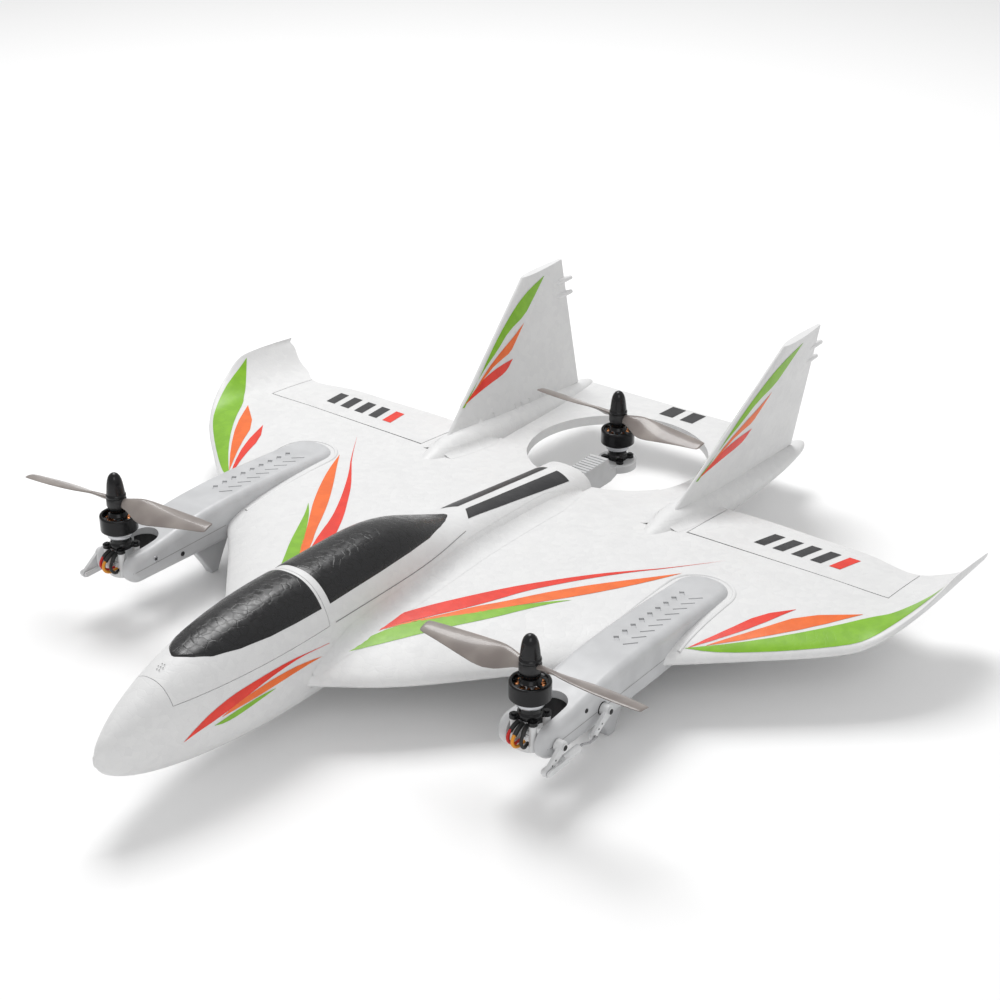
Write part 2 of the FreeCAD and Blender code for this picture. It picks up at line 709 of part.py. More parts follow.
# ---- tilting mount and its linkage -----------------------------------------------
def make_tilt_mount():
    ring_radius = FORK_GAP / 2 - SIDE_CLEARANCE
    boss_radius = 2.6
    ring = rod(0, 0, -5.0, ring_radius, 3.2)
    ring = ring.cut(rod(0, 0, -6.0, ring_radius - 2.9, 6.0))
    parts = [ring]
    reach = POST_CIRCLE * math.sqrt(0.5)
    for side_x in (-1, 1):
        for side_y in (-1, 1):
            parts.append(rod(side_x * reach, side_y * reach, -4.0, POST_RADIUS,
                             CROSS_UNDERSIDE + 4.0))
        web_low = side_x * (ring_radius - 2.6)
        web_high = side_x * (ring_radius - 0.8)
        parts.append(box(min(web_low, web_high), max(web_low, web_high), -reach, reach, -4.0, 2.0))
    boss_start = ring_radius - 2.2
    boss_end = ring_radius - 0.5
    prong_width = (NACELLE_WIDTH - FORK_GAP) / 2
    parts.append(rod(boss_start, 0, 0, boss_radius, boss_end - boss_start, X_AXIS))
    parts.append(rod(-boss_end, 0, 0, boss_radius, boss_end - boss_start, X_AXIS))
    parts.append(rod(-ring_radius - prong_width + 2.0, 0, 0, AXLE_RADIUS, prong_width + 1.0, X_AXIS))
    shaft_end = NACELLE_WIDTH / 2 + LEVER_STANDOFF
    parts.append(rod(boss_start, 0, 0, AXLE_RADIUS, shaft_end - boss_start, X_AXIS))
    mount = fuse(parts)
    mount.translate(point(NACELLE_X, 0, 0))
    add_pair("tilt_mount", largest_solid(mount))


def linkage_x():
    return NACELLE_X + NACELLE_WIDTH / 2 + LEVER_STANDOFF + LEVER_THICKNESS / 2


def make_tilt_linkage():
    x = linkage_x()
    rest = 180.0 + LEVER_REST_DEG
    wall = NACELLE_X + NACELLE_WIDTH / 2
    collar = rod(wall + SIDE_CLEARANCE, 0, 0, LEVER_HUB_RADIUS,
                 LEVER_STANDOFF - SIDE_CLEARANCE, X_AXIS)
    collar = collar.cut(rod(wall, 0, 0, AXLE_RADIUS, FULL, X_AXIS))
    screw = rod(x + LEVER_THICKNESS / 2, 0, 0, 1.5, 0.8, X_AXIS)
    horn = fuse([lever_plate(x, 0, 0, rest, LEVER_LENGTH), collar, screw])
    add_pair("tilt_horn", horn)
    arm = lever_plate(x, SERVO_PIVOT_Y, 0, rest, LEVER_LENGTH)
    arm_screw = rod(x + LEVER_THICKNESS / 2, SERVO_PIVOT_Y, 0, 1.5, 0.8, X_AXIS)
    arm_collar = rod(wall + SIDE_CLEARANCE, SERVO_PIVOT_Y, 0, LEVER_HUB_RADIUS,
                     LEVER_STANDOFF - SIDE_CLEARANCE, X_AXIS)
    arm_collar = arm_collar.cut(rod(wall, SERVO_PIVOT_Y, 0, 2.45, FULL, X_AXIS))
    add_pair("tilt_servo_arm", fuse([arm, arm_collar, arm_screw]))
    make_tilt_pushrod(x)


def make_tilt_pushrod(x):
    angle = math.radians(LEVER_REST_DEG)
    tip_y = -LEVER_LENGTH * math.cos(angle)
    tip_z = -LEVER_LENGTH * math.sin(angle)
    arm_y = SERVO_PIVOT_Y + tip_y
    side_gap = 0.3
    tine = 1.0
    tine_start = LEVER_THICKNESS / 2 + side_gap
    fork_length = 12.0
    barrel_end = tip_y + 23.0
    parts = []
    for low in (x - tine_start - tine, x + tine_start):
        parts.append(box(low, low + tine, tip_y, tip_y + fork_length, tip_z - 1.3, tip_z + 1.3))
        parts.append(rod(low, tip_y, tip_z, 1.3, tine, X_AXIS))
    parts.append(box(x - tine_start - tine, x + tine_start + tine, tip_y + fork_length - 2.0,
                     tip_y + fork_length + 1.5, tip_z - 1.3, tip_z + 1.3))
    parts.append(rod(x, tip_y + fork_length, tip_z, 1.8, barrel_end - tip_y - fork_length, Y_AXIS))
    parts.append(rod(x - tine_start - 0.5, tip_y, tip_z, WIRE_RADIUS, 2 * tine_start + 1.0, X_AXIS))
    clevis = fuse(parts)
    wire_x = x + LEVER_THICKNESS / 2 + WIRE_RADIUS + 0.4
    peg_start = x - LEVER_THICKNESS / 2 - 0.4
    bend_y = arm_y - 5.0
    straight = rod(x, barrel_end - 6.0, tip_z, WIRE_RADIUS, bend_y - barrel_end + 6.0 - 3.0, Y_AXIS)
    jog_start = point(x, bend_y - 3.0, tip_z)
    jog_end = point(wire_x, bend_y, tip_z)
    jog = Part.makeCylinder(WIRE_RADIUS, (jog_end - jog_start).Length, jog_start, jog_end - jog_start)
    last = rod(wire_x, bend_y, tip_z, WIRE_RADIUS, arm_y - bend_y, Y_AXIS)
    peg = rod(peg_start, arm_y, tip_z, WIRE_RADIUS, wire_x - peg_start, X_AXIS)
    knuckles = [Part.makeSphere(WIRE_RADIUS, place)
                for place in (jog_start, jog_end, point(wire_x, arm_y, tip_z))]
    wire = fuse([straight, jog, last, peg] + knuckles)
    add_pair("tilt_clevis", clevis.cut(wire))
    add_pair("tilt_pushrod", wire)


def make_motor_leads():
    lead_radius = 0.75
    tubes = []
    for offset, bulge in ((-2.2, 6.0), (0.0, 7.2), (2.2, 5.4)):
        start = point(offset, -5.4, CROSS_UNDERSIDE - 0.9)
        middle = point(offset * 1.5, -5.4 - bulge, CROSS_UNDERSIDE / 2 - 3.4)
        end = point(offset, -5.0, -6.6)
        path = Part.Wire([Part.Arc(start, middle, end).toShape()])
        tangent = path.Edges[0].tangentAt(path.Edges[0].FirstParameter)
        circle = Part.Wire([Part.Circle(start, tangent, lead_radius).toShape()])
        tubes.append(path.makePipeShell([circle], True, False))
    group = Part.Compound(tubes)
    group.translate(point(NACELLE_X, 0, 0))
    add_pair("motor_leads", group)


# ---- motor and propeller -----------------------------------------------------------
def cross_mount():
    """Four-armed plate under a motor, its underside at height zero."""
    arms = [rod(0, 0, 0, 5.2, CROSS_THICKNESS)]
    arm_width = 3.6
    for turn in range(4):
        arm = box(0, POST_CIRCLE, -arm_width / 2, arm_width / 2, 0, CROSS_THICKNESS)
        eye = rod(POST_CIRCLE, 0, 0, arm_width * 0.58, CROSS_THICKNESS)
        screw = rod(POST_CIRCLE, 0, CROSS_THICKNESS, 1.2, 0.7)
        limb = fuse([arm, eye, screw])
        limb.rotate(point(0, 0, 0), Z_AXIS, 45.0 + 90.0 * turn)
        arms.append(limb)
    return fuse(arms)


def stator():
    """Foot, bearing tube and wound teeth, standing on the cross mount."""
    foot_height = 2.0
    foot = rod(0, 0, 0, 5.0, foot_height)
    tube_height = foot_height + CAN_HEIGHT - 2.4
    tube = rod(0, 0, 0, 2.6, tube_height)
    base = foot_height + 1.4
    tooth_height = CAN_HEIGHT - 4.6
    teeth = []
    for index in range(TOOTH_COUNT):
        neck = box(2.0, STATOR_RADIUS - 0.8, -0.9, 0.9, base, base + tooth_height)
        head = box(STATOR_RADIUS - 1.1, STATOR_RADIUS - 0.2, -1.9, 1.9, base, base + tooth_height)
        coil = box(3.2, STATOR_RADIUS - 1.2, -1.25, 1.25, base - 0.5, base + tooth_height + 0.8)
        tooth = fuse([neck, head, coil])
        tooth.rotate(point(0, 0, 0), Z_AXIS, 360.0 * index / TOOTH_COUNT)
        teeth.append(tooth)
    bore = rod(0, 0, -1.0, SHAFT_RADIUS + RUNNING_CLEARANCE, tube_height + 2.0)
    return fuse([foot, tube] + teeth).cut(bore)


def bell():
    """Rotating can with its vented top, collar seat and shaft; z as in the stator."""
    low = 2.0 + CAN_CLEARANCE
    top = low + CAN_HEIGHT
    lid = 1.3
    can = rod(0, 0, low, CAN_RADIUS, CAN_HEIGHT)
    can = can.makeFillet(0.8, [edge for edge in can.Edges if edge.BoundBox.ZMin > top - 0.01])
    can = can.cut(rod(0, 0, low - 1.0, CAN_RADIUS - CAN_WALL, CAN_HEIGHT - lid + 1.0))
    windows = []
    for index in range(6):
        window = box(3.6, 7.4, -1.7, 1.7, top - lid - 1.0, top + 1.0)
        window.rotate(point(0, 0, 0), Z_AXIS, 60.0 * index + 30.0)
        windows.append(window)
    can = can.cut(windows)
    boss = rod(0, 0, top - lid, 3.2, lid)
    shaft = rod(0, 0, 0.3, SHAFT_RADIUS, top + COLLAR_HEIGHT + HUB_HEIGHT + 4.5)
    collar = rod(0, 0, top, COLLAR_RADIUS, COLLAR_HEIGHT)
    waist = rod(0, 0, top + 1.2, FULL, 1.4).cut(rod(0, 0, top, COLLAR_RADIUS - 0.7, FULL))
    return fuse([can, boss, shaft, collar.cut(waist)])


def rotor_seat():
    return 2.0 + CAN_CLEARANCE + CAN_HEIGHT + COLLAR_HEIGHT


def blade_wire(radius, chord, thickness):
    """Closed thin foil across the blade at a radius, set to the pitch there."""
    angle = math.atan(PROP_PITCH / (2 * math.pi * max(radius, 14.0)))
    half_thickness = thickness / 2
    flat = [(-0.52, 0.0), (-0.30, 0.85), (0.10, 1.0), (0.36, 0.65), (0.48, 0.0),
            (0.36, -0.5), (0.0, -0.6), (-0.30, -0.35)]
    outline = []
    for along, off in flat:
        y = along * chord
        z = off * half_thickness
        outline.append(point(radius, y * math.cos(angle) - z * math.sin(angle),
                             y * math.sin(angle) + z * math.cos(angle)))
    return closed_curve(outline)


def propeller():
    """Two blades that lift when turned anticlockwise seen from above."""
    rows = [
        (3.0, 6.0, 3.0),
        (10.0, 9.5, 2.6),
        (20.0, PROP_CHORD, PROP_THICKNESS + 0.5),
        (32.0, 0.93 * PROP_CHORD, PROP_THICKNESS + 0.1),
        (45.0, 0.72 * PROP_CHORD, PROP_THICKNESS - 0.2),
        (PROP_RADIUS, PROP_TIP_CHORD, PROP_THICKNESS - 0.5),
    ]
    blade = Part.makeLoft([blade_wire(*row) for row in rows], True, False)
    other = blade.copy()
    other.rotate(point(0, 0, 0), Z_AXIS, 180.0)
    hub = rod(0, 0, -HUB_HEIGHT / 2, HUB_RADIUS, HUB_HEIGHT)
    bore = rod(0, 0, -HUB_HEIGHT, SHAFT_RADIUS, 2 * HUB_HEIGHT)
    return fuse([blade, other, hub]).cut(bore)


def spinner():
    """Bullet nut that clamps the propeller, its base at height zero."""
    height = SPINNER_HEIGHT
    side = open_curve([
        point(HUB_RADIUS, 0, 1.8),
        point(0.88 * HUB_RADIUS, 0, 0.42 * height),
        point(0.62 * HUB_RADIUS, 0, 0.76 * height),
        point(0.34 * HUB_RADIUS, 0, 0.95 * height),
        point(SHAFT_RADIUS * 0.5, 0, height),
    ])
    edges = Part.makePolygon([
        point(SHAFT_RADIUS * 0.5, 0, height),
        point(0, 0, height),
        point(0, 0, 0),
        point(HUB_RADIUS, 0, 0),
        point(HUB_RADIUS, 0, 1.8),
    ]).Edges
    face = Part.Face(Part.Wire([side] + edges))
    solid = face.revolve(point(0, 0, 0), Z_AXIS, 360.0)
    if solid.Volume < 0:
        solid = solid.reversed()
    tap = rod(0, 0, -1.0, SHAFT_RADIUS, 7.0)
    return solid.cut(tap)


def make_motor(name, x, y, underside, mirror_prop, yaw_deg):
    """One motor with its mount plate, propeller and spinner, at a place."""
    prop = propeller()
    if mirror_prop:
        prop = prop.mirror(point(0, 0, 0), X_AXIS)
    prop.rotate(point(0, 0, 0), Z_AXIS, yaw_deg)
    prop.translate(point(0, 0, CROSS_THICKNESS + rotor_seat() + HUB_HEIGHT / 2))
    nut = spinner()
    nut.translate(point(0, 0, CROSS_THICKNESS + rotor_seat() + HUB_HEIGHT))
    core = stator()
    core.translate(point(0, 0, CROSS_THICKNESS))
    can = bell()
    can.translate(point(0, 0, CROSS_THICKNESS))
    group = {"motor_cross": cross_mount(), "motor_stator": core, "motor_bell": can,
             "propeller": prop, "spinner": nut}
    for part_name, shape in group.items():
        shape.translate(point(x, y, underside))
        pieces[part_name + "_" + name] = shape


# ---- tail motor bracket and rear foot -------------------------------------------------
def tail_cup_top():
    return CROSS_UNDERSIDE - 13.8


def tail_bracket():
    half = 5.5
    top = 2.8
    cup_radius = 10.5
    front = TAIL_ROTOR_Y - TAIL_OPENING_RADIUS - 6.0
    housing = polygon_prism([
        point(-half, front, TAIL_BOTTOM + 1.0),
        point(-half, front, top),
        point(-half, TAIL_ROTOR_Y - 17.0, top),
        point(-half, TAIL_ROTOR_Y - 14.5, tail_cup_top()),
        point(-half, TAIL_ROTOR_Y - 8.0, tail_cup_top()),
        point(-half, TAIL_ROTOR_Y - 8.0, TAIL_BOTTOM + 2.0),
        point(-half, TAIL_ROTOR_Y - 14.0, TAIL_BOTTOM),
        point(-half, front + 8.0, TAIL_BOTTOM),
    ], X_AXIS * (2 * half))
    grooves = []
    for step in range(9):
        y = TAIL_ROTOR_Y - 42.0 + 2.7 * step
        grooves.append(box(-half, half, y, y + 0.9, top - 0.5, top + 1.0))
    cup = rod(0, TAIL_ROTOR_Y, TAIL_BOTTOM + 2.5, cup_radius, tail_cup_top() - TAIL_BOTTOM - 2.5)
    return fuse([housing.cut(grooves), cup])


def make_rear_foot(bracket, hull):
    leg = landing_leg(0, TAIL_ROTOR_Y - 38.0, TAIL_ROTOR_Y - 52.0, TAIL_ROTOR_Y - 24.0,
                      TAIL_BOTTOM + 3.0)
    pieces["rear_foot"] = largest_solid(leg.cut([bracket, hull]))


def export_all():
    os.makedirs("parts", exist_ok=True)
    for name, shape in pieces.items():
        shape.translate(ORIGIN_SHIFT)
        shape.exportStep("parts/" + name + ".step")


def main():
    hull = fuselage_block(fuselage_stations(), 0.0)
    cavity_stations = [y for y in fuselage_stations() if BAY_FRONT + 3 < y < BAY_REAR - 3]
    cavity = fuselage_block([BAY_FRONT] + cavity_stations + [BAY_REAR], FOAM_WALL)
    boom = boom_block()
    nacelle = nacelle_block(0.0)
    spar_reach = NACELLE_X - NACELLE_WIDTH / 2 - 3.5
    spar = rod(-spar_reach, SPAR_Y, SPAR_Z, SPAR_RADIUS, 2 * spar_reach, X_AXIS)
    bracket = tail_bracket()
    pieces["carbon_spar"] = spar
    pieces["tail_motor_bracket"] = bracket
    make_rear_foot(bracket, hull)
    make_fuselage(hull, cavity, bracket, spar)
    make_battery()
    make_flight_board()
    make_wings(hull, boom, nacelle, spar)
    make_aileron_linkage()
    make_tail(boom)
    make_nacelles(nacelle)
    make_tilt_mount()
    make_tilt_linkage()
    make_motor_leads()
    make_motor("left", NACELLE_X, 0, CROSS_UNDERSIDE, True, 0.9)
    make_motor("right", -NACELLE_X, 0, CROSS_UNDERSIDE, False, 7.0)
    make_motor("tail", 0, TAIL_ROTOR_Y, tail_cup_top(), False, -4.8)
    export_all()


main()
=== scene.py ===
import json
import math

import bmesh
import bpy
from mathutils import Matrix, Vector
from mathutils.bvhtree import BVHTree


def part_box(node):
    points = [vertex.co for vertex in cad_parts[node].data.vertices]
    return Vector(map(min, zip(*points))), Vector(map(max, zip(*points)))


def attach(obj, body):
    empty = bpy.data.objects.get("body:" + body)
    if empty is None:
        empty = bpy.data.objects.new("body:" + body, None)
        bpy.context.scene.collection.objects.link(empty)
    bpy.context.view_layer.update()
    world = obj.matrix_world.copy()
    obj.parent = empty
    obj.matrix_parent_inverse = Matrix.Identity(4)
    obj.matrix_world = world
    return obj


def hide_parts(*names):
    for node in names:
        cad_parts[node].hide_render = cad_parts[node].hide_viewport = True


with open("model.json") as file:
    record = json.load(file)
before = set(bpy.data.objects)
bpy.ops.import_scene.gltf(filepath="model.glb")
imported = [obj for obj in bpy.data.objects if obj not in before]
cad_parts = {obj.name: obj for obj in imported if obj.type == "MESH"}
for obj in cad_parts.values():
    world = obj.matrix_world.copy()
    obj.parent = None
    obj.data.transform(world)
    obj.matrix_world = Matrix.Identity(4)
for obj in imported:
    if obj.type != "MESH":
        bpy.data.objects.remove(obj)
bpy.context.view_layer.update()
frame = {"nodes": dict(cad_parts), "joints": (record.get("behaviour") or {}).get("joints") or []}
nodes = frame["nodes"]
SIDES = (("left", 1), ("right", -1))

# Looks are laid out in millimetres from the tilt axis on the centre plane,
# +X left wing, +Y aft, +Z up, and moved to the row frame by at().
tilt_joint = next(j for j in frame["joints"] if j["name"] == "tilt_left")
TILT_ORIGIN = Vector((0.0, tilt_joint["pos_m"][1], tilt_joint["pos_m"][2]))
NACELLE_X = tilt_joint["pos_m"][0] * 1000


def at(x, y, z):
    return TILT_ORIGIN + Vector((x, y, z)) * 0.001


# ---- camera --------------------------------------------------------------------
CAMERA_AZIMUTH = math.radians(37.51)
CAMERA_ELEVATION = math.radians(27.36)
CAMERA_ROLL = math.radians(-0.49)
CAMERA_PLACE = (0.5266, -0.6414, 0.4918)
CAMERA_LENS = 68.98
SENSOR_WIDTH = 36


def add_camera():
    azimuth, elevation, roll = CAMERA_AZIMUTH, CAMERA_ELEVATION, CAMERA_ROLL
    back = Vector((math.sin(azimuth) * math.cos(elevation),
                   -math.cos(azimuth) * math.cos(elevation), math.sin(elevation)))
    right = Vector((math.cos(azimuth), math.sin(azimuth), 0))
    up = back.cross(right)
    turned_right = right * math.cos(roll) + up * math.sin(roll)
    turned_up = up * math.cos(roll) - right * math.sin(roll)
    camera = bpy.data.objects.new("camera", bpy.data.cameras.new("camera"))
    bpy.context.scene.collection.objects.link(camera)
    matrix = camera.matrix_world.to_3x3()
    for column, axis in enumerate((turned_right, turned_up, back)):
        for row in range(3):
            matrix[row][column] = axis[row]
    camera.matrix_world = matrix.to_4x4()
    camera.location = CAMERA_PLACE
    camera.data.lens = CAMERA_LENS
    camera.data.sensor_width = SENSOR_WIDTH
    bpy.context.scene.camera = camera


# ---- materials -----------------------------------------------------------------
def new_material(name, color, roughness, metallic=0.0):
    material = bpy.data.materials.new(name)
    material.use_nodes = True
    shader = material.node_tree.nodes["Principled BSDF"]
    shader.inputs["Base Color"].default_value = (*color, 1)
    shader.inputs["Roughness"].default_value = roughness
    shader.inputs["Metallic"].default_value = metallic
    return material, material.node_tree, shader


def add_node(tree, kind, **values):
    node = tree.nodes.new(kind)
    for key, value in values.items():
        setattr(node, key, value)
    return node


def coordinates(tree):
    return add_node(tree, "ShaderNodeTexCoord").outputs["Object"]


def noise(tree, place, size_mm, detail=2.0):
    node = add_node(tree, "ShaderNodeTexNoise")
    node.inputs["Scale"].default_value = 1000 / size_mm
    node.inputs["Detail"].default_value = detail
    tree.links.new(place, node.inputs["Vector"])
    return node.outputs["Fac"]


def cells(tree, place, size_mm, feature, randomness=1.0):
    node = add_node(tree, "ShaderNodeTexVoronoi", feature=feature)
    node.inputs["Scale"].default_value = 1000 / size_mm
    node.inputs["Randomness"].default_value = randomness
    tree.links.new(place, node.inputs["Vector"])
    return node


def spread(tree, value, low_in, high_in, low_out, high_out):
    node = add_node(tree, "ShaderNodeMapRange", interpolation_type="SMOOTHSTEP")
    for slot_name, number in (("From Min", low_in), ("From Max", high_in),
                              ("To Min", low_out), ("To Max", high_out)):
        node.inputs[slot_name].default_value = number
    tree.links.new(value, node.inputs["Value"])
    return node.outputs["Result"]


def mixed(tree, share, color_a, color_b):
    node = add_node(tree, "ShaderNodeMix", data_type="RGBA")
    node.inputs["A"].default_value = (*color_a, 1)
    node.inputs["B"].default_value = (*color_b, 1)
    tree.links.new(share, node.inputs["Factor"])
    return node.outputs["Result"]


def bump(tree, height, depth_mm, strength, before=None):
    node = add_node(tree, "ShaderNodeBump")
    node.inputs["Strength"].default_value = strength
    node.inputs["Distance"].default_value = depth_mm / 1000
    tree.links.new(height, node.inputs["Height"])
    if before is not None:
        tree.links.new(before, node.inputs["Normal"])
    return node.outputs["Normal"]


BEAD_MM = 3.4


def foam_relief(tree, place, strength):
    """Pressed beads: flat cells with shallow seams, and a fine skin grain."""
    edges = cells(tree, place, BEAD_MM, "DISTANCE_TO_EDGE").outputs["Distance"]
    seams = spread(tree, edges, 0.0, 0.09, 0.0, 1.0)
    grain = noise(tree, place, 1.1, 3.0)
    swell = noise(tree, place, 9.0, 1.0)
    normal = bump(tree, seams, 0.10, 0.35 * strength)
    normal = bump(tree, grain, 0.10, 0.30 * strength, normal)
    return bump(tree, swell, 0.35, 0.30 * strength, normal)


def foam_material():
    material, tree, shader = new_material("bead_foam", (0.70, 0.70, 0.70), 0.5)
    place = coordinates(tree)
    bead_tone = cells(tree, place, BEAD_MM, "F1").outputs["Color"]
    grey = add_node(tree, "ShaderNodeRGBToBW")
    tree.links.new(bead_tone, grey.inputs["Color"])
    tint = mixed(tree, grey.outputs["Val"], (0.685, 0.685, 0.687), (0.73, 0.73, 0.728))
    tree.links.new(tint, shader.inputs["Base Color"])
    sheen_patch = spread(tree, noise(tree, place, 14.0), 0.3, 0.7, 0.42, 0.58)
    tree.links.new(sheen_patch, shader.inputs["Roughness"])
    tree.links.new(foam_relief(tree, place, 1.0), shader.inputs["Normal"])
    return material


def film_material(name, color, dark):
    """Printed film on the foam: the beads still show through it."""
    material, tree, shader = new_material(name, color, 0.38)
    place = coordinates(tree)
    tint = mixed(tree, spread(tree, noise(tree, place, 6.0), 0.35, 0.65, 0.0, 1.0), dark, color)
    tree.links.new(tint, shader.inputs["Base Color"])
    tree.links.new(foam_relief(tree, place, 0.6), shader.inputs["Normal"])
    return material


def glazing_material():
    material, tree, shader = new_material("canopy_glazing", (0.010, 0.010, 0.011), 0.2)
    place = coordinates(tree)
    edges = cells(tree, place, 4.6, "DISTANCE_TO_EDGE", 0.75).outputs["Distance"]
    lines = spread(tree, edges, 0.0, 0.07, 0.0, 1.0)
    # The cell seams are painted a shade darker than the cells: painted shade in the grooves of the
    # bump.
    tint = mixed(tree, lines, (0.003, 0.003, 0.003), (0.009, 0.009, 0.010))
    tree.links.new(tint, shader.inputs["Base Color"])
    rough = spread(tree, noise(tree, place, 3.0), 0.3, 0.7, 0.20, 0.36)
    tree.links.new(rough, shader.inputs["Roughness"])
    normal = bump(tree, lines, 0.10, 0.45)
    normal = bump(tree, noise(tree, place, 2.2, 2.0), 0.16, 0.40, normal)
    tree.links.new(normal, shader.inputs["Normal"])
    return material


def moulded_material(name, color, roughness, grain_mm=0.5, depth_mm=0.02, metallic=0.0):
    """Smooth moulded or machined surface with a fine grain and uneven polish."""
    material, tree, shader = new_material(name, color, roughness, metallic)
    place = coordinates(tree)
    shade = tuple(channel * 0.90 for channel in color)
    tint = mixed(tree, spread(tree, noise(tree, place, 12.0), 0.3, 0.7, 0.0, 1.0), shade, color)
    tree.links.new(tint, shader.inputs["Base Color"])
    polish = spread(tree, noise(tree, place, 5.0), 0.3, 0.7, roughness * 0.85, roughness * 1.15)
    tree.links.new(polish, shader.inputs["Roughness"])
    tree.links.new(bump(tree, noise(tree, place, grain_mm, 3.0), depth_mm, 0.5),
                   shader.inputs["Normal"])
    return material


def wound_copper_material():
    material, tree, shader = new_material("copper_winding", (0.78, 0.30, 0.12), 0.3, 1.0)
    place = coordinates(tree)
    wires = add_node(tree, "ShaderNodeTexWave", bands_direction="Z")
    wires.inputs["Scale"].default_value = 420
    wires.inputs["Distortion"].default_value = 1.5
    tree.links.new(place, wires.inputs["Vector"])
    # The darker bands sit in the grooves between the wire turns: painted shade.
    tint = mixed(tree, wires.outputs["Fac"], (0.30, 0.10, 0.04), (0.95, 0.42, 0.18))
    tree.links.new(tint, shader.inputs["Base Color"])
    tree.links.new(bump(tree, wires.outputs["Fac"], 0.15, 0.8), shader.inputs["Normal"])
    return material


def propeller_material():
    material, tree, shader = new_material("smoked_propeller", (0.30, 0.26, 0.24), 0.3)
    shader.inputs["Transmission Weight"].default_value = 0.25
    shader.inputs["Coat Weight"].default_value = 0.3
    shader.inputs["IOR"].default_value = 1.4
    place = coordinates(tree)
    flow = noise(tree, place, 16.0)
    streaks = spread(tree, flow, 0.3, 0.7, 0.0, 1.0)
    tint = mixed(tree, streaks, (0.25, 0.215, 0.20), (0.36, 0.32, 0.295))
    tree.links.new(tint, shader.inputs["Base Color"])
    tree.links.new(bump(tree, noise(tree, place, 1.5), 0.02, 0.4), shader.inputs["Normal"])
    return material


def drawn_wire_material():
    material, tree, shader = new_material("drawn_wire", (0.42, 0.42, 0.43), 0.28, 1.0)
    place = coordinates(tree)
    streaks = spread(tree, noise(tree, place, 0.6), 0.3, 0.7, 0.22, 0.40)
    tree.links.new(streaks, shader.inputs["Roughness"])
    return material


FOAM = foam_material()
GLAZING = glazing_material()
RED = film_material("red_film", (0.78, 0.034, 0.014), (0.70, 0.026, 0.011))
ORANGE = film_material("orange_film", (0.84, 0.150, 0.017), (0.77, 0.13, 0.014))
GREEN = film_material("green_film", (0.22, 0.47, 0.016), (0.19, 0.42, 0.013))
CHARCOAL = film_material("charcoal_film", (0.030, 0.030, 0.032), (0.020, 0.020, 0.022))
SEAM = moulded_material("seam_shadow", (0.26, 0.26, 0.26), 0.7)
GREY_PLASTIC = moulded_material("grey_moulding", (0.56, 0.565, 0.575), 0.36)
WHITE_PLASTIC = moulded_material("white_nylon", (0.68, 0.685, 0.69), 0.38)
BRACKET = moulded_material("bracket_moulding", (0.56, 0.565, 0.57), 0.42)
BLACK_PLASTIC = moulded_material("black_moulding", (0.012, 0.012, 0.013), 0.45)
# Near-black used for holes, vents and recesses: painted shade standing in for the shade inside
# them.
PAINTED_RECESS_SHADE = moulded_material("painted_recess_shade", (0.006, 0.006, 0.007), 0.6)
MOTOR_SHELL = moulded_material("motor_shell", (0.014, 0.014, 0.015), 0.22, metallic=0.6)
ANODISED = moulded_material("black_anodised", (0.012, 0.012, 0.013), 0.20, metallic=0.4)
ALLOY = moulded_material("turned_alloy", (0.55, 0.56, 0.58), 0.30, metallic=1.0)
COPPER = wound_copper_material()
PROPELLER = propeller_material()
WIRE = drawn_wire_material()
CARBON = moulded_material("carbon_tube", (0.020, 0.020, 0.022), 0.35)
BATTERY = moulded_material("battery_wrap", (0.05, 0.07, 0.12), 0.3)
BOARD = moulded_material("circuit_board", (0.02, 0.07, 0.045), 0.45)
MAGNET = moulded_material("magnet_nickel", (0.62, 0.61, 0.58), 0.18, metallic=1.0)
RED_LEAD = moulded_material("red_lead", (0.55, 0.010, 0.008), 0.42)
YELLOW_LEAD = moulded_material("yellow_lead", (0.78, 0.30, 0.012), 0.42)
BLACK_LEAD = moulded_material("black_lead", (0.012, 0.012, 0.012), 0.5)


def paint(material, *names):
    for name in names:
        slots = nodes[name].data.materials
        slots.clear()
        slots.append(material)


def both(*names):
    return [name + "_" + side for name in names for side, _ in SIDES]


def paint_nodes():
    paint(FOAM, "fuselage", "battery_hatch", "rear_canopy", "stabiliser",
          *both("wing", "aileron", "boom", "fin"))
    paint(GREY_PLASTIC, *both("nacelle_upper", "nacelle_lower", "landing_leg"))
    paint(WHITE_PLASTIC, *both("tilt_mount", "tilt_horn", "tilt_servo_arm", "tilt_clevis",
                               "aileron_horn", "aileron_servo_arm"))
    paint(BRACKET, "tail_motor_bracket", "rear_foot")
    paint(BLACK_PLASTIC, "aileron_servos", *both("tilt_servo"))
    paint(WIRE, *both("tilt_pushrod", "aileron_pushrod"))
    paint(CARBON, "carbon_spar")
    paint(BATTERY, "battery")
    paint(BOARD, "flight_board")
    paint(MAGNET, "hatch_magnets")
    paint(BLACK_LEAD, *both("motor_leads"))
    for place in ("left", "right", "tail"):
        paint(MOTOR_SHELL, "motor_bell_" + place)
        paint(ANODISED, "motor_cross_" + place, "spinner_" + place)
        paint(PROPELLER, "propeller_" + place)
        paint(ALLOY, "motor_stator_" + place)


# ---- mesh helpers --------------------------------------------------------------
def add_mesh(name, points, faces, material, body, smooth=True):
    mesh = bpy.data.meshes.new(name)
    mesh.from_pydata([tuple(p) for p in points], [], faces)
    mesh.validate()
    mesh.materials.append(material)
    for face in mesh.polygons:
        face.use_smooth = smooth
    piece = bpy.data.objects.new(name, mesh)
    bpy.context.scene.collection.objects.link(piece)
    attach(piece, body)
    return piece


def surface_of(*names):
    """Search tree over the skins of some CAD nodes."""
    points, faces = [], []
    for name in names:
        mesh = nodes[name].data
        start = len(points)
        points += [v.co.copy() for v in mesh.vertices]
        faces += [[start + i for i in face.vertices] for face in mesh.polygons]
    return BVHTree.FromPolygons(points, faces)


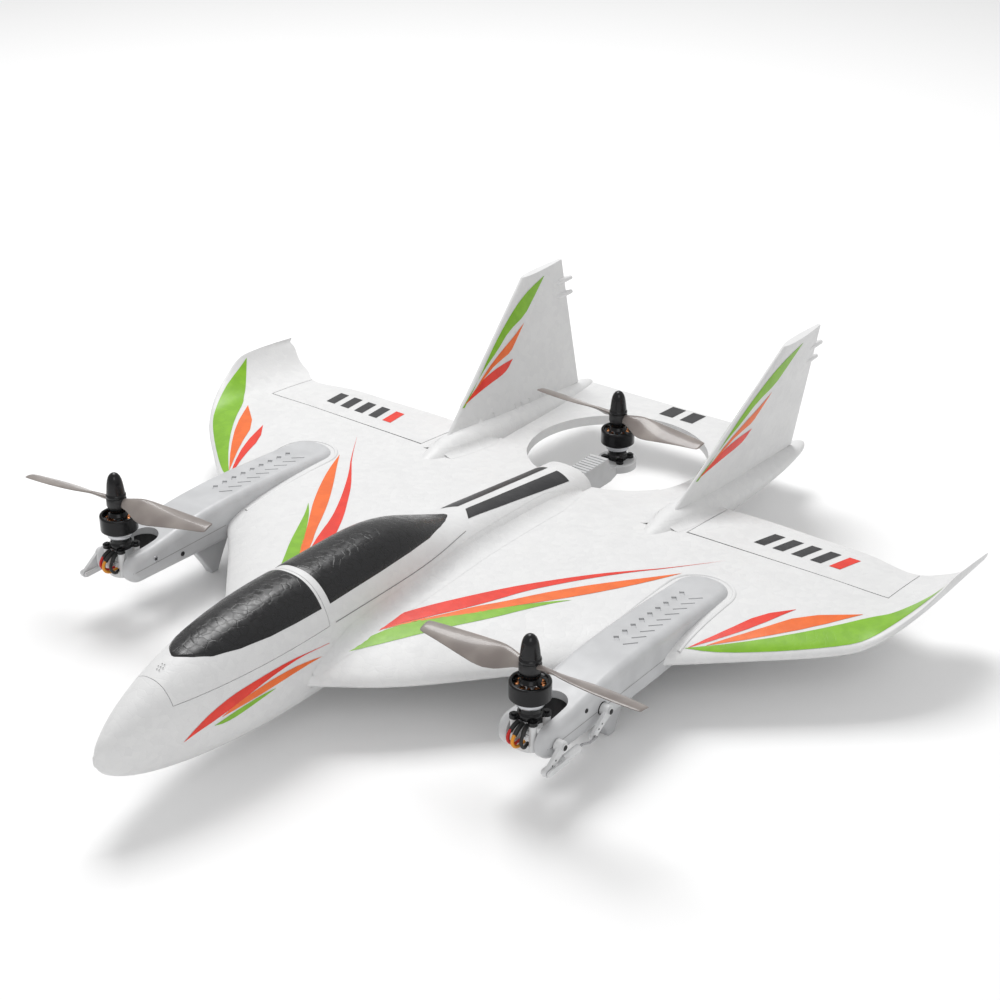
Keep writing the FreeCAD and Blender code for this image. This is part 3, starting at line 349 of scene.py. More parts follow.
def strip_faces(rows, kept):
    """Quads between neighbouring points of a grid, where all four were kept."""
    index, faces = {}, []
    for r, row in enumerate(rows):
        for c in range(len(row)):
            if kept[r][c]:
                index[r, c] = len(index)
    for r in range(len(rows) - 1):
        for c in range(len(rows[r]) - 1):
            corners = [(r, c), (r, c + 1), (r + 1, c + 1), (r + 1, c)]
            if all(corner in index for corner in corners):
                faces.append([index[corner] for corner in corners])
    return index, faces


def grid_mesh(name, rows, material, body):
    """Sheet through rows of points; a missing point is None."""
    kept = [[p is not None for p in row] for row in rows]
    index, faces = strip_faces(rows, kept)
    points = [rows[r][c] for r, c in index]
    return add_mesh(name, points, faces, material, body)


def landed(tree, start, direction, lift_mm):
    hit, normal, _, _ = tree.ray_cast(start, direction)
    if hit is None:
        return None
    if normal.dot(direction) > 0:
        normal = -normal
    return hit + normal * (lift_mm / 1000)


def along(points, share):
    """Point a share of the way along a chain of points, by its length."""
    lengths = [(b - a).length for a, b in zip(points, points[1:])]
    target = share * sum(lengths)
    for a, b, length in zip(points, points[1:], lengths):
        if target <= length:
            return a.lerp(b, target / length if length else 0)
        target -= length
    return points[-1].copy()


def softened(points, rounds=2):
    """Corner cutting that keeps both ends."""
    for _ in range(rounds):
        cut = [points[0]]
        for a, b in zip(points, points[1:]):
            cut += [a.lerp(b, 0.25), a.lerp(b, 0.75)]
        points = cut + [points[-1]]
    return points


def swoosh(name, edge_a, edge_b, to_point, direction, tree, material, body, lift_mm=0.15):
    """Film between two edges, laid on a skin by rays along a direction."""
    count, across = 70, 6
    rows = []
    for step in range(count + 1):
        share = step / count
        a, b = along(edge_a, share), along(edge_b, share)
        rows.append([landed(tree, to_point(a.lerp(b, k / across)) - direction * 0.2,
                            direction, lift_mm) for k in range(across + 1)])
    return grid_mesh(name, rows, material, body)


def flat(points):
    return softened([Vector((x, y, 0)) for x, y in points], 1)


def tube(name, path, radius_mm, material, body, sides=14):
    """Round tube through millimetre points, smoothed; its ends are left open."""
    points = softened([Vector(p) for p in path], 3)
    rows = []
    previous = None
    for i, p in enumerate(points):
        ahead = (points[min(i + 1, len(points) - 1)] - points[max(i - 1, 0)]).normalized()
        if previous is None:
            previous = ahead.orthogonal().normalized()
        side = (previous - ahead * previous.dot(ahead)).normalized()
        previous = side
        other = ahead.cross(side)
        rows.append([at(*(p + (side * math.cos(2 * math.pi * k / sides)
                               + other * math.sin(2 * math.pi * k / sides)) * radius_mm))
                     for k in range(sides + 1)])
    return grid_mesh(name, rows, material, body)


def turned(name, profile, centre, axis, material, body, sides=40):
    """Lathe: profile of (radius, height) in millimetres about an axis."""
    axis = Vector(axis).normalized()
    side = axis.orthogonal().normalized()
    other = axis.cross(side)
    rows = []
    for radius, height in profile:
        rows.append([at(*(Vector(centre) + axis * height
                          + (side * math.cos(2 * math.pi * k / sides)
                             + other * math.sin(2 * math.pi * k / sides)) * radius))
                     for k in range(sides + 1)])
    return grid_mesh(name, rows, material, body)


add_camera()
paint_nodes()


# ---- blends where foam meets foam ------------------------------------------------
def meeting_rows(wall, floor, side, stations, far_x, start_x, z_guess, up, reach):
    """Concave blend rows between a wall seen from the side and a floor seen from above."""
    rows = []
    ends = max(len(stations) - 1, 1)
    for i, y in enumerate(stations):
        size = reach * min(1.0, 0.25 + 6 * i / ends, 0.25 + 6 * (ends - i) / ends)
        x, z = start_x(y), z_guess
        found = True
        for _ in range(6):
            down = floor.ray_cast(at(x, y, z_guess + 60 * up), Vector((0, 0, -up)))[0]
            if down is None:
                found = False
                break
            z = (down.z - TILT_ORIGIN.z) * 1000
            across = wall.ray_cast(at(far_x, y, z), Vector((-side, 0, 0)))[0]
            if across is None:
                found = False
                break
            x = across.x * 1000 + side * 0.3
        if not found:
            rows.append([None] * 9)
            continue
        top = wall.ray_cast(at(far_x, y, z + up * size), Vector((-side, 0, 0)))[0]
        out = floor.ray_cast(at(x + side * size, y, z_guess + 60 * up), Vector((0, 0, -up)))[0]
        if top is None or out is None or abs(top.x * 1000 - x) > 2.5 * size:
            rows.append([None] * 9)
            continue
        corner = at(x - side * 0.3, y, z)
        row = []
        for k in range(9):
            t = k / 8
            row.append(top.lerp(corner, t).lerp(corner.lerp(out, t), t))
        lift = 0.00006
        row = [p + Vector((side * lift, 0, up * lift)) for p in row]
        rows.append(row)
    return rows


def span(start, end, step):
    count = max(2, round((end - start) / step))
    return [start + (end - start) * i / count for i in range(count + 1)]


def add_blends():
    hull = surface_of("fuselage", "rear_canopy")
    for side_name, side in SIDES:
        wing = surface_of("wing_" + side_name)
        boom = surface_of("boom_" + side_name)
        fin = surface_of("fin_" + side_name)
        rows = meeting_rows(hull, wing, side, span(-24, 193, 2.0), side * 60,
                            lambda y: side * 26, 10, 1, 7.0)
        grid_mesh("root_blend_top_" + side_name, rows, FOAM, "airframe")
        rows = meeting_rows(hull, wing, side, span(-24, 190, 2.0), side * 60,
                            lambda y: side * 26, -8, -1, 6.0)
        grid_mesh("root_blend_low_" + side_name, rows, FOAM, "airframe")
        for flank, label in ((side, "out"), (-side, "in")):
            rows = meeting_rows(boom, wing, flank, span(171, 222, 1.5), side * 72 + flank * 30,
                                lambda y: side * 72 + flank * 12, 4, 1, 3.5)
            grid_mesh("boom_blend_" + label + "_" + side_name, rows, FOAM, "airframe")
        rows = meeting_rows(fin, boom, -side, span(186, 311, 1.5), side * 42,
                            lambda y: side * 69, 8, 1, 2.6)
        grid_mesh("fin_blend_" + side_name, rows, FOAM, "airframe")


# ---- canopy glazing --------------------------------------------------------------
HULL_AXIS_Z = 12.0
HULL_RADIUS = 22.0
# Outlines as (y, half angle in degrees seen from the hull's axis).
FRONT_GLAZING = [(-83.5, 2), (-82, 9), (-79, 18), (-72, 30), (-59, 39), (-43, 44.5),
                 (-28, 46.5), (-11.5, 47.5)]
REAR_GLAZING = [(-6.0, 47.5), (8, 47), (29, 46.5), (51, 45), (69, 42), (84, 33), (92, 24),
                (98.5, 9), (100, 2)]
SPINE_SEAM = [(-6, 68), (30, 68), (60, 68), (98, 62)]
SEAM_WIDTH = 0.45
SEAM_LIFT = 0.10
VENT_RADIUS = 0.36
VENT_SIDES = 10
VENT_HULL_RADIUS = 26.0
VENT_LIFT = 0.42


def hull_point(tree, y, angle, lift_mm):
    """Point on the hull, met by a ray that comes in towards the hull's axis."""
    out = Vector((math.sin(angle), 0, math.cos(angle)))
    return landed(tree, at(0, y, HULL_AXIS_Z) + out * 0.08, -out, lift_mm)


def half_angle(table, y):
    for (y0, a0), (y1, a1) in zip(table, table[1:]):
        if y <= y1:
            share = (y - y0) / (y1 - y0)
            return math.radians(a0 + (a1 - a0) * max(share, 0))
    return math.radians(table[-1][1])


def glaze(name, node, body, table, step=1.0):
    tree = surface_of(node)
    across = 44
    stations = span(table[0][0], table[-1][0], step)
    rows = []
    for i, y in enumerate(stations):
        reach = half_angle(table, y)
        row = []
        for k in range(across + 1):
            share = 2 * k / across - 1
            rim = min((1 - abs(share)) * reach * 20, min(i, len(stations) - 1 - i) * step, 1.2)
            row.append(hull_point(tree, y, reach * share, 0.05 + 0.28 * rim))
        rows.append(row)
    return grid_mesh(name, rows, GLAZING, body)


def seam_line(name, points, tree_nodes, body):
    """Thin dark line drawn on the hull through (y, angle in degrees) points."""
    tree = surface_of(*tree_nodes)
    path = softened([Vector((y, a, 0)) for y, a in points], 2)
    rows = []
    count = 90
    for i in range(count + 1):
        p = along(path, i / count)
        q = along(path, min(1, i / count + 0.01))
        heading = p - along(path, 0.99) if i == count else q - p
        run = Vector((heading.x, heading.y * math.pi / 180 * HULL_RADIUS)).normalized()
        step_y = -run.y * SEAM_WIDTH / 2
        step_angle = run.x * SEAM_WIDTH / 2 / HULL_RADIUS * 180 / math.pi
        rows.append([hull_point(tree, p.x + step_y * s, math.radians(p.y + step_angle * s),
                                SEAM_LIFT)
                     for s in (-1, 0, 1)])
    return grid_mesh(name, rows, SEAM, body)


def vent_dots(name, node, body, y, angle_deg, material):
    """Cluster of seven small round vents drawn on the hull skin as flat dots of painted shade."""
    tree = surface_of(node)
    points, faces = [], []
    for row, count in ((-1.6, 2), (0.0, 3), (1.6, 2)):
        for k in range(count):
            dx = (k - (count - 1) / 2) * 1.8
            centre_y = y + row
            centre_angle = math.radians(angle_deg) + dx / VENT_HULL_RADIUS
            start = len(points)
            ring = []
            for s in range(VENT_SIDES):
                turn = 2 * math.pi * s / VENT_SIDES
                around = VENT_RADIUS / VENT_HULL_RADIUS * math.cos(turn)
                p = hull_point(tree, centre_y + VENT_RADIUS * math.sin(turn),
                               centre_angle + around, VENT_LIFT)
                if p is not None:
                    ring.append(p)
            if len(ring) == VENT_SIDES:
                points += ring
                faces.append(list(range(start, start + VENT_SIDES)))
    add_mesh(name, points, faces, material, body, smooth=False)


def add_canopy():
    glaze("glazing_front", "battery_hatch", "hatch", FRONT_GLAZING)
    glaze("glazing_rear", "rear_canopy", "airframe", REAR_GLAZING)
    for sign, label in ((1, "left"), (-1, "right")):
        seam_line("spine_seam_" + label, [(y, sign * a) for y, a in SPINE_SEAM],
                  ("fuselage", "rear_canopy"), "airframe")
        for i, (y, angle) in enumerate(((-66, 26), (-36, 34))):
            vent_dots(f"hatch_vents_{label}_{i}", "battery_hatch", "hatch", y, sign * angle,
                      PAINTED_RECESS_SHADE)
        for i, (y, angle) in enumerate(((6, 30), (36, 28))):
            vent_dots(f"canopy_vents_{label}_{i}", "rear_canopy", "airframe", y, sign * angle,
                      PAINTED_RECESS_SHADE)
    vent_dots("nose_vents", "battery_hatch", "hatch", -90.5, 0, SEAM)


# ---- printed swooshes ----------------------------------------------------------------
DOWN = Vector((0, 0, -1))


def plan_point(side):
    return lambda p: at(side * p.x, p.y, 0) + Vector((0, 0, 0.15))


def side_point(side):
    """Side view points: the film's y and z, seen from outboard."""
    return lambda p: at(side * 60, p.x, p.y)


def plan_film(name, side_name, side, tree, material, edge_a, edge_b):
    swoosh(name + "_" + side_name, flat(edge_a), flat(edge_b), plan_point(side), DOWN,
           tree, material, "airframe")


def add_wing_films():
    for side_name, side in SIDES:
        tree = surface_of("wing_" + side_name, "nacelle_upper_" + side_name)
        hull_side = surface_of("fuselage", "wing_" + side_name)
        plan_film("strake_red", side_name, side, tree, RED,
                  [(24, -13), (24.2, -2), (25.2, 11), (27, 28), (33, 42.5), (40, 56.6), (48, 71.8),
                   (57.3, 88), (67.7, 103), (78.5, 118), (90.3, 131.6), (100.6, 143.4), (119, 169)],
                  [(24, -13), (25, -3), (27.5, 10), (32.1, 23.8), (39.7, 37.3), (48.3, 53.3),
                   (54.8, 67), (61.2, 83), (70.4, 99.4), (80.4, 115.2), (91, 130.5),
                   (100.9, 142.9), (119, 169)])
        plan_film("strake_orange", side_name, side, tree, ORANGE,
                  [(28, 13.4), (34.4, 27.9), (43.1, 41.9), (50.3, 56.2), (59.2, 69.5), (67.4, 84.2),
                   (77.2, 99.7), (87.8, 114.6), (98.8, 129.1), (109.3, 143.5)],
                  [(28, 13.4), (35.1, 27), (44.4, 40.3), (54.3, 53), (63.3, 66.9), (73.8, 81.1),
                   (82.1, 92.8), (91.9, 108.6), (101.2, 125.6), (109.3, 143.5)])
        plan_film("strake_green", side_name, side, tree, GREEN,
                  [(24.5, -9), (27.2, 4.7), (31.9, 20.9), (38.5, 33.8), (48.8, 45.8), (58, 59.4),
                   (68.4, 73.5), (75.7, 82.4), (83, 89.8)],
                  [(24.5, -9), (31.1, 1.3), (39.9, 16.2), (47.9, 30.6), (53.4, 39.7), (62.2, 53.7),
                   (70.8, 70), (76.8, 80.8), (83, 89.8)])
        tip_tree = surface_of("wing_" + side_name)
        plan_film("tip_red", side_name, side, tip_tree, RED,
                  [(143.8, 93.6), (151.8, 112.4), (158.6, 133.4), (169.6, 147.1)],
                  [(143.8, 93.6), (152.4, 106.4), (161.9, 124.2), (169.6, 147.1)])
        plan_film("tip_orange", side_name, side, tip_tree, ORANGE,
                  [(149.6, 99.6), (163.2, 122), (174.6, 144.6), (196.2, 162.6)],
                  [(149.6, 99.6), (166, 117.3), (183.2, 139.4), (196.2, 162.6)])
        plan_film("tip_green", side_name, side, tip_tree, GREEN,
                  [(142.7, 92.8), (160.5, 109.7), (176.2, 127.2), (189.8, 145.3), (200.7, 163.5),
                   (205.7, 168.9), (210, 175), (216, 182), (223.6, 191)],
                  [(142.7, 92.8), (152.4, 98), (164.5, 106.8), (181.5, 120.8), (195, 132.8),
                   (204, 142), (209, 149.5), (213.5, 158.5), (218, 170), (223.6, 191)])
        across = Vector((-side, 0, 0))
        for name, material, edge_a, edge_b in (
            ("nose_red", RED,
             [(-95.6, 3), (-88.4, 7.9), (-80.4, 11.7), (-69.8, 14.6), (-60.3, 15.6), (-50.5, 16.2),
              (-40.9, 16.4), (-31.1, 15.8), (-22.3, 14.6), (-12, 13.4)],
             [(-95.6, 3), (-89.1, 5.0), (-83.1, 6.2), (-75.3, 7.9), (-69.5, 9.2), (-60, 11.4),
              (-50.2, 13.4), (-40.6, 14.6), (-30, 15.0), (-22, 14.3), (-12, 13.2)]),
            ("nose_orange", ORANGE,
             [(-76.5, 6.8), (-68.3, 9.9), (-57.4, 11.5), (-47.4, 12.4), (-35.1, 12.2), (-25, 10.8),
              (-17.4, 9.1)],
             [(-76.5, 6.8), (-69.7, 7.3), (-62.6, 7.8), (-52, 8.4), (-42, 9.0), (-28.6, 9.5),
              (-17.4, 9.1)]),
            ("nose_green", GREEN,
             [(-80.5, 4.4), (-69.8, 6.4), (-62.7, 7.1), (-55.4, 7.7), (-46, 7.2)],
             [(-80.5, 4.4), (-74.6, 3.2), (-67, 3.9), (-58, 5.4), (-46, 7.2)])):
            swoosh(f"{name}_{side_name}", flat(edge_a), flat(edge_b), side_point(side), across,
                   hull_side, material, "airframe")


def add_fin_films():
    for side_name, side in SIDES:
        tree = surface_of("fin_" + side_name)
        for flank, label in ((1, "out"), (-1, "in")):
            direction = Vector((-flank, 0, 0))

            def start(p, side=side, flank=flank):
                return at(side * 78 + flank * 40, p.x, p.y)

            for name, material, edge_a, edge_b in (
                ("fin_green", GREEN,
                 [(208.5, 20.5), (223.5, 31.5), (236, 41.6), (247, 49.8), (258, 57.2), (268, 63),
                  (279, 67.4), (293.5, 70.5)],
                 [(207, 20.5), (219.1, 28.7), (231.2, 36.5), (242.8, 42.6), (254.6, 49.9),
                  (270.1, 54.3), (279.2, 60.6), (293.5, 70.5)]),
                ("fin_orange", ORANGE,
                 [(214, 24), (231.3, 34.9), (245.1, 41.1), (256.9, 45.5), (268.4, 50.4)],
                 [(214, 24), (233.3, 34.0), (244.1, 36.8), (252.6, 38.2), (259.7, 43.6),
                  (268.4, 50.4)]),
                ("fin_red", RED,
                 [(208.5, 21.5), (222.5, 29.3), (231.6, 32.1), (241.7, 33.8), (253.6, 34.2)],
                 [(208.5, 21.5), (218.2, 24.5), (229.7, 26.8), (241.2, 28.2), (247.4, 29.8),
                  (253.6, 34.2)])):
                swoosh(f"{name}_{label}_{side_name}", flat(edge_a), flat(edge_b),
                       start, direction, tree, material, "airframe")


def add_bar(name, corners, tree, material, body="airframe"):
    """Four-cornered film seen from above: two corners at each end."""
    a0, b0, b1, a1 = (Vector((x, y, 0)) for x, y in corners)
    swoosh(name, [a0, a1], [b0, b1], plan_point(1), DOWN, tree, material, body)


# Each pair is the front and the rear edge; the bars stand in for lettering.
STABILISER_BARS = (308, 323)
FLAP_BARS = (196, 212)
FLAP_BAR_COUNT = 5
FLAP_BAR_START = 118
FLAP_BAR_PITCH = 10.5
FLAP_BAR_WIDTH = 6.0
FLAP_BAR_SLANT = 3.0


def add_bars():
    deck = surface_of("fuselage", "rear_canopy")
    tail = surface_of("stabiliser")
    for side_name, side in SIDES:
        add_bar("deck_bar_" + side_name,
                [(side * 2.3, 112), (side * 8.8, 106), (side * 11.6, 187.4), (side * 2.9, 188.4)],
                deck, CHARCOAL)
    front, rear = STABILISER_BARS
    for label, near, far in (("left", 3.4, 11.8), ("right", -10.6, -1.6)):
        add_bar("stabiliser_bar_" + label, [(near, front), (far, front), (far, rear), (near, rear)],
                tail, CHARCOAL)
    front, rear = FLAP_BARS
    for side_name, side in SIDES:
        flap = surface_of("aileron_" + side_name)
        red_bar = FLAP_BAR_COUNT - 1 if side_name == "left" else 0
        for k in range(FLAP_BAR_COUNT):
            x = side * (FLAP_BAR_START + FLAP_BAR_PITCH * k)
            corners = [(x, front), (x + side * FLAP_BAR_WIDTH, front),
                       (x + side * (FLAP_BAR_WIDTH + FLAP_BAR_SLANT), rear),
                       (x + side * FLAP_BAR_SLANT, rear)]
            add_bar(f"flap_bar_{side_name}_{k}", corners, flap, RED if k == red_bar else CHARCOAL,
                    "aileron_flap_" + side_name)


# ---- nacelles --------------------------------------------------------------------------
NACELLE_HALF = 13.5
NACELLE_END = 147.0
RECESS_RADIUS = 7.35
RECESS_Y = 14.5
RECESS_HEIGHTS = (-6.8, -4, 0, 3, 5.6)
PARTING_START = -5.5
RIM_GAP = 3.2
RIM_RADIUS = 1.15
RIM_SUNK = 0.45


def screw(name, centre, axis, radius, material, body):
    """Low domed screw head with a cross-shaped recess drawn as painted shade."""
    profile = [(radius * 0.99, -0.15), (radius, 0.05), (radius * 0.92, 0.28), (radius * 0.6, 0.42),
               (0.001, 0.46)]
    turned(name, profile, centre, axis, material, body, 24)
    axis = Vector(axis).normalized()
    side = axis.orthogonal().normalized()
    other = axis.cross(side)
    middle = Vector(centre) + axis * 0.49
    points, faces = [], []
    for u, v in ((side, other), (other, side)):
        start = len(points)
        for a, b in ((1, 1), (1, -1), (-1, -1), (-1, 1)):
            points.append(at(*(middle + u * (a * radius * 0.55) + v * (b * radius * 0.14))))
        faces.append([start, start + 1, start + 2, start + 3])
    add_mesh(name + "_cross", points, faces, PAINTED_RECESS_SHADE, body, smooth=False)


def add_nacelle_details():
    for side_name, side in SIDES:
        centre_x = side * NACELLE_X
        shell = surface_of("nacelle_upper_" + side_name, "nacelle_lower_" + side_name)
        wing = surface_of("wing_" + side_name)
        # Black sheet round the inside of the motor recess: painted shade.
        rows = []
        for k in range(25):
            turn = math.pi * k / 24
            rows.append([at(centre_x + RECESS_RADIUS * math.cos(turn),
                            RECESS_Y + RECESS_RADIUS * math.sin(turn), z)
                         for z in RECESS_HEIGHTS])
        grid_mesh("recess_liner_" + side_name, rows, PAINTED_RECESS_SHADE, "airframe")
        for flank, label, end in ((1, "out", 84), (-1, "in", 58)):
            away = flank * side
            rows = []
            inward = Vector((-away, 0, 0))
            for y in span(PARTING_START, end, 1.5):
                rows.append([landed(shell, at(centre_x + away * 40, y, z), inward, 0.06)
                             for z in (-0.16, 0.0, 0.16)])
            grid_mesh(f"parting_line_{label}_{side_name}", rows, SEAM, "airframe")
        inner_x = centre_x - side * NACELLE_HALF
        screw("prong_screw_" + side_name, (inner_x, 9, 2.2), (-side, 0, 0), 1.5, ALLOY,
              "airframe")
        screw("body_screw_" + side_name, (inner_x, 27, -3.0), (-side, 0, 0), 1.3, BLACK_PLASTIC,
              "airframe")
        outer_x = centre_x + side * NACELLE_HALF
        screw("cover_screw_" + side_name, (outer_x, 22, 5.0), (side, 0, 0), 1.1, BLACK_PLASTIC,
              "airframe")
        rim = []
        reach = NACELLE_HALF + RIM_GAP
        arc_y = NACELLE_END - NACELLE_HALF
        plan = [(centre_x + side * reach, y) for y in span(90, arc_y - 4, 7)]
        for k in range(13):
            turn = math.pi * k / 12
            plan.append((centre_x + side * reach * math.cos(turn), arc_y + reach * math.sin(turn)))
        plan += [(centre_x - side * reach, y) for y in span(arc_y - 4, 70, 7)]
        for x, y in plan:
            hit = wing.ray_cast(at(x, y, 60), DOWN)[0]
            if hit is not None:
                rim.append((x, y, (hit.z - TILT_ORIGIN.z) * 1000 - RIM_SUNK))
        tube("socket_rim_" + side_name, rim, RIM_RADIUS, FOAM, "airframe", 10)


# ---- tilting motors ----------------------------------------------------------------------
# Each lead: its sideways offset, how far its loop bulges forward, and its colour.
LEADS = ((-2.4, 11.6, RED_LEAD), (0.0, 12.9, YELLOW_LEAD), (2.4, 11.2, BLACK_LEAD))
LEAD_RADIUS = 0.78
SLEEVE_RADIUS = 1.05


def add_leads():
    for side_name, side in SIDES:
        body = "tilt_" + side_name
        cx = side * NACELLE_X
        first = None
        for k, (offset, bulge, material) in enumerate(LEADS):
            path = [(cx + offset, -5.2, 8.1), (cx + offset * 1.2, -8.4, 7.0),
                    (cx + offset * 1.4, -bulge + 0.4, 4.4), (cx + offset * 1.4, -bulge, 1.6),
                    (cx + offset * 1.3, -bulge + 2.0, -1.0), (cx + offset, -7.0, -2.2),
                    (cx + offset * 0.8, -4.2, -1.6)]
            lead = tube(f"lead_{k}_{side_name}", path, LEAD_RADIUS, material, body)
            first = first or lead
            sleeve = [path[0], path[1], (cx + offset * 1.35, -bulge + 1.7, 5.0)]
            tube(f"lead_sleeve_{k}_{side_name}", sleeve, SLEEVE_RADIUS, BLACK_LEAD, body)
        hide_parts("motor_leads_" + side_name)


LEVER_HUB_FACE = 143.15
LEVER_ARM_FACE = 142.45
LEVER_ANGLE = math.radians(212)
ARM_PIVOT_Y = 34.0


def add_lever_details():
    for side_name, side in SIDES:
        for body, y in (("tilt_" + side_name, 0.0), ("tilt_arm_" + side_name, ARM_PIVOT_Y)):
            screw(f"lever_screw_{body}", (side * LEVER_HUB_FACE, y, 0), (side, 0, 0), 1.35,
                  BLACK_PLASTIC, body)
            # Holes in the lever drawn as near-black discs: painted shade.
            for k, reach in enumerate((6.6, 9.4)):
                spot = (side * LEVER_ARM_FACE, y + reach * math.cos(LEVER_ANGLE),
                        reach * math.sin(LEVER_ANGLE))
                turned(f"lever_hole_{k}_{body}", [(0.001, 0.02), (0.42, 0.02), (0.42, -0.3)], spot,
                       (side, 0, 0), PAINTED_RECESS_SHADE, body, 12)


# ---- motors --------------------------------------------------------------------------------
# Heights are in millimetres above the cross plate that the motor stands on.
CAN_RADIUS = 9.2
CAN_INNER = 8.4
CAN_LOW = 8.2
CAN_TOP = 16.3
COIL_TOP = 15.4
COIL_HEIGHT = 3.4
COIL_COUNT = 9
FOOT_TOP = 4.4
TUBE_RADIUS = 2.4
LID_COLUMNS = 96
LID_WINDOWS = 4
WINDOW_SHARE = 0.74
WINDOW_RADIUS = 6.4
UP = (0, 0, 1)


def motor_seat(place):
    """Middle of the cross plate's top face, in the model's millimetres."""
    low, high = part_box("motor_bell_" + place)
    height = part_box("motor_stator_" + place)[0].z
    spot = Vector(((low.x + high.x) / 2, (low.y + high.y) / 2, height))
    return (spot - TILT_ORIGIN) * 1000


def ring_point(centre, radius, height, share):
    turn = 2 * math.pi * share
    return at(centre.x + radius * math.cos(turn), centre.y + radius * math.sin(turn),
              centre.z + height)


def add_coils(place, seat, body):
    """Nine wound teeth seen through the windows: a ring with nine swells."""
    profile = [(3.0, 0.0), (3.6, 0.75), (5.2, 1.0), (6.6, 0.8), (7.4, 0.0)]
    columns = LID_COLUMNS * 2
    rows = []
    for radius, crown in profile:
        row = []
        for k in range(columns + 1):
            share = k / columns
            swell = abs(math.sin(COIL_COUNT * math.pi * share)) ** 0.6
            height = COIL_TOP - COIL_HEIGHT + COIL_HEIGHT * crown * swell
            row.append(ring_point(seat, radius, height, share))
        rows.append(row)
    return grid_mesh("coils_" + place, rows, COPPER, body)


def add_bell(place, seat):
    """Can, windowed lid and collar in one turned skin."""
    top = CAN_TOP
    profile = [(CAN_INNER, top - 0.9), (CAN_INNER, CAN_LOW), (CAN_RADIUS - 0.2, CAN_LOW),
               (CAN_RADIUS, CAN_LOW + 0.2), (CAN_RADIUS, CAN_LOW + 0.6), (CAN_RADIUS, top - 1.1),
               (CAN_RADIUS, top - 0.7), (CAN_RADIUS - 0.2, top - 0.2), (CAN_RADIUS - 0.7, top),
               (7.9, top), (7.7, top - 0.35), (WINDOW_RADIUS, top - 0.35), (5.0, top - 0.35),
               (4.4, top),
               (4.3, top + 1.1), (4.0, top + 1.3), (4.0, top + 1.9), (4.4, top + 2.1), (4.7, 21.0)]
    rows = []
    for radius, height in profile:
        row = []
        for k in range(LID_COLUMNS + 1):
            share = k / LID_COLUMNS
            in_window = radius == WINDOW_RADIUS and (share * LID_WINDOWS) % 1.0 < WINDOW_SHARE
            row.append(None if in_window else ring_point(seat, radius, height, share))
        rows.append(row)
    bell = grid_mesh("bell_" + place, rows, MOTOR_SHELL, "rotor_" + place)
    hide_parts("motor_bell_" + place)


def add_motor(place, fixed_body):
    seat = motor_seat(place)
    turned("motor_foot_" + place, [(5.6, 0.0), (5.6, 1.0), (5.1, 1.4), (5.0, 2.2), (5.0, FOOT_TOP)],
           seat, UP, ANODISED, fixed_body)
    base = turned("motor_base_" + place,
                  [(4.6, 4.5), (6.0, 4.5), (6.3, 4.8), (6.3, 6.6), (5.9, 7.0), (TUBE_RADIUS, 7.1),
                   (TUBE_RADIUS, COIL_TOP - 1.0), (1.2, COIL_TOP - 1.0)],
                  seat, UP, ALLOY, fixed_body)
    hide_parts("motor_stator_" + place)
    add_coils(place, seat, fixed_body)
    add_bell(place, seat)


# ---- propellers ----------------------------------------------------------------------------
# Each row: radius, chord, thickness, and the share of chord ahead of the blade's axis.
BLADE = [(3.6, 5.0, 3.4, 0.50), (7.0, 6.6, 3.0, 0.50), (11.0, 9.6, 2.5, 0.46),
         (15.0, 12.4, 2.1, 0.42), (19.5, 14.0, 1.9, 0.39), (24.0, 14.2, 1.7, 0.38),
         (30.0, 13.4, 1.5, 0.40), (37.0, 12.0, 1.35, 0.42), (44.0, 10.4, 1.2, 0.45),
         (50.0, 9.0, 1.05, 0.47), (54.0, 8.0, 0.95, 0.48), (55.8, 7.0, 0.8, 0.49),
         (56.3, 5.6, 0.5, 0.50)]
BLADE_STATIONS = [3.6, 5, 7, 9, 11, 13, 15, 17, 19.5, 22, 25, 28, 32, 36, 40, 44, 47, 50, 52, 54,
                  55.1, 55.8, 56.3]
BLADE_PITCH = 76.0
BLADE_FLATTENED = 0.92
ROOT_RADIUS = 13.0
HUB_HALF = 2.5
FOIL_POINTS = 11


def foil_ring(chord, thickness, ahead):
    """Closed cambered outline in the blade's own plane: (towards leading edge, up)."""
    ring = []
    for k in range(FOIL_POINTS):
        t = 0.5 - 0.5 * math.cos(math.pi * k / (FOIL_POINTS - 1))
        body = thickness * 0.5 * (2.6 * math.sqrt(t) * (1 - t) ** 0.8 + 0.05)
        ring.append(((ahead - t) * chord, 0.16 * chord * t * (1 - t) + body))
    for k in range(FOIL_POINTS - 2, 0, -1):
        t = 0.5 - 0.5 * math.cos(math.pi * k / (FOIL_POINTS - 1))
        body = thickness * 0.5 * (1.2 * math.sqrt(t) * (1 - t) ** 0.8 + 0.05)
        ring.append(((ahead - t) * chord, 0.16 * chord * t * (1 - t) - body))
    return ring


def blade_section(radius):
    for near, far in zip(BLADE, BLADE[1:]):
        if radius <= far[0]:
            break
    t = (radius - near[0]) / (far[0] - near[0])
    return [a + (b - a) * t for a, b in zip(near[1:], far[1:])]


def blade_point(radius, u, v, pitch, half_turn, hand, yaw):
    """Foil point set to its pitch, then swung to its blade, hand and yaw."""
    x = radius * math.cos(half_turn) * hand
    y = (u * math.cos(pitch) - v * math.sin(pitch)) * math.cos(half_turn)
    z = (u * math.sin(pitch) + v * math.cos(pitch)) * BLADE_FLATTENED
    return Vector((x * math.cos(yaw) - y * math.sin(yaw), x * math.sin(yaw) + y * math.cos(yaw), z))


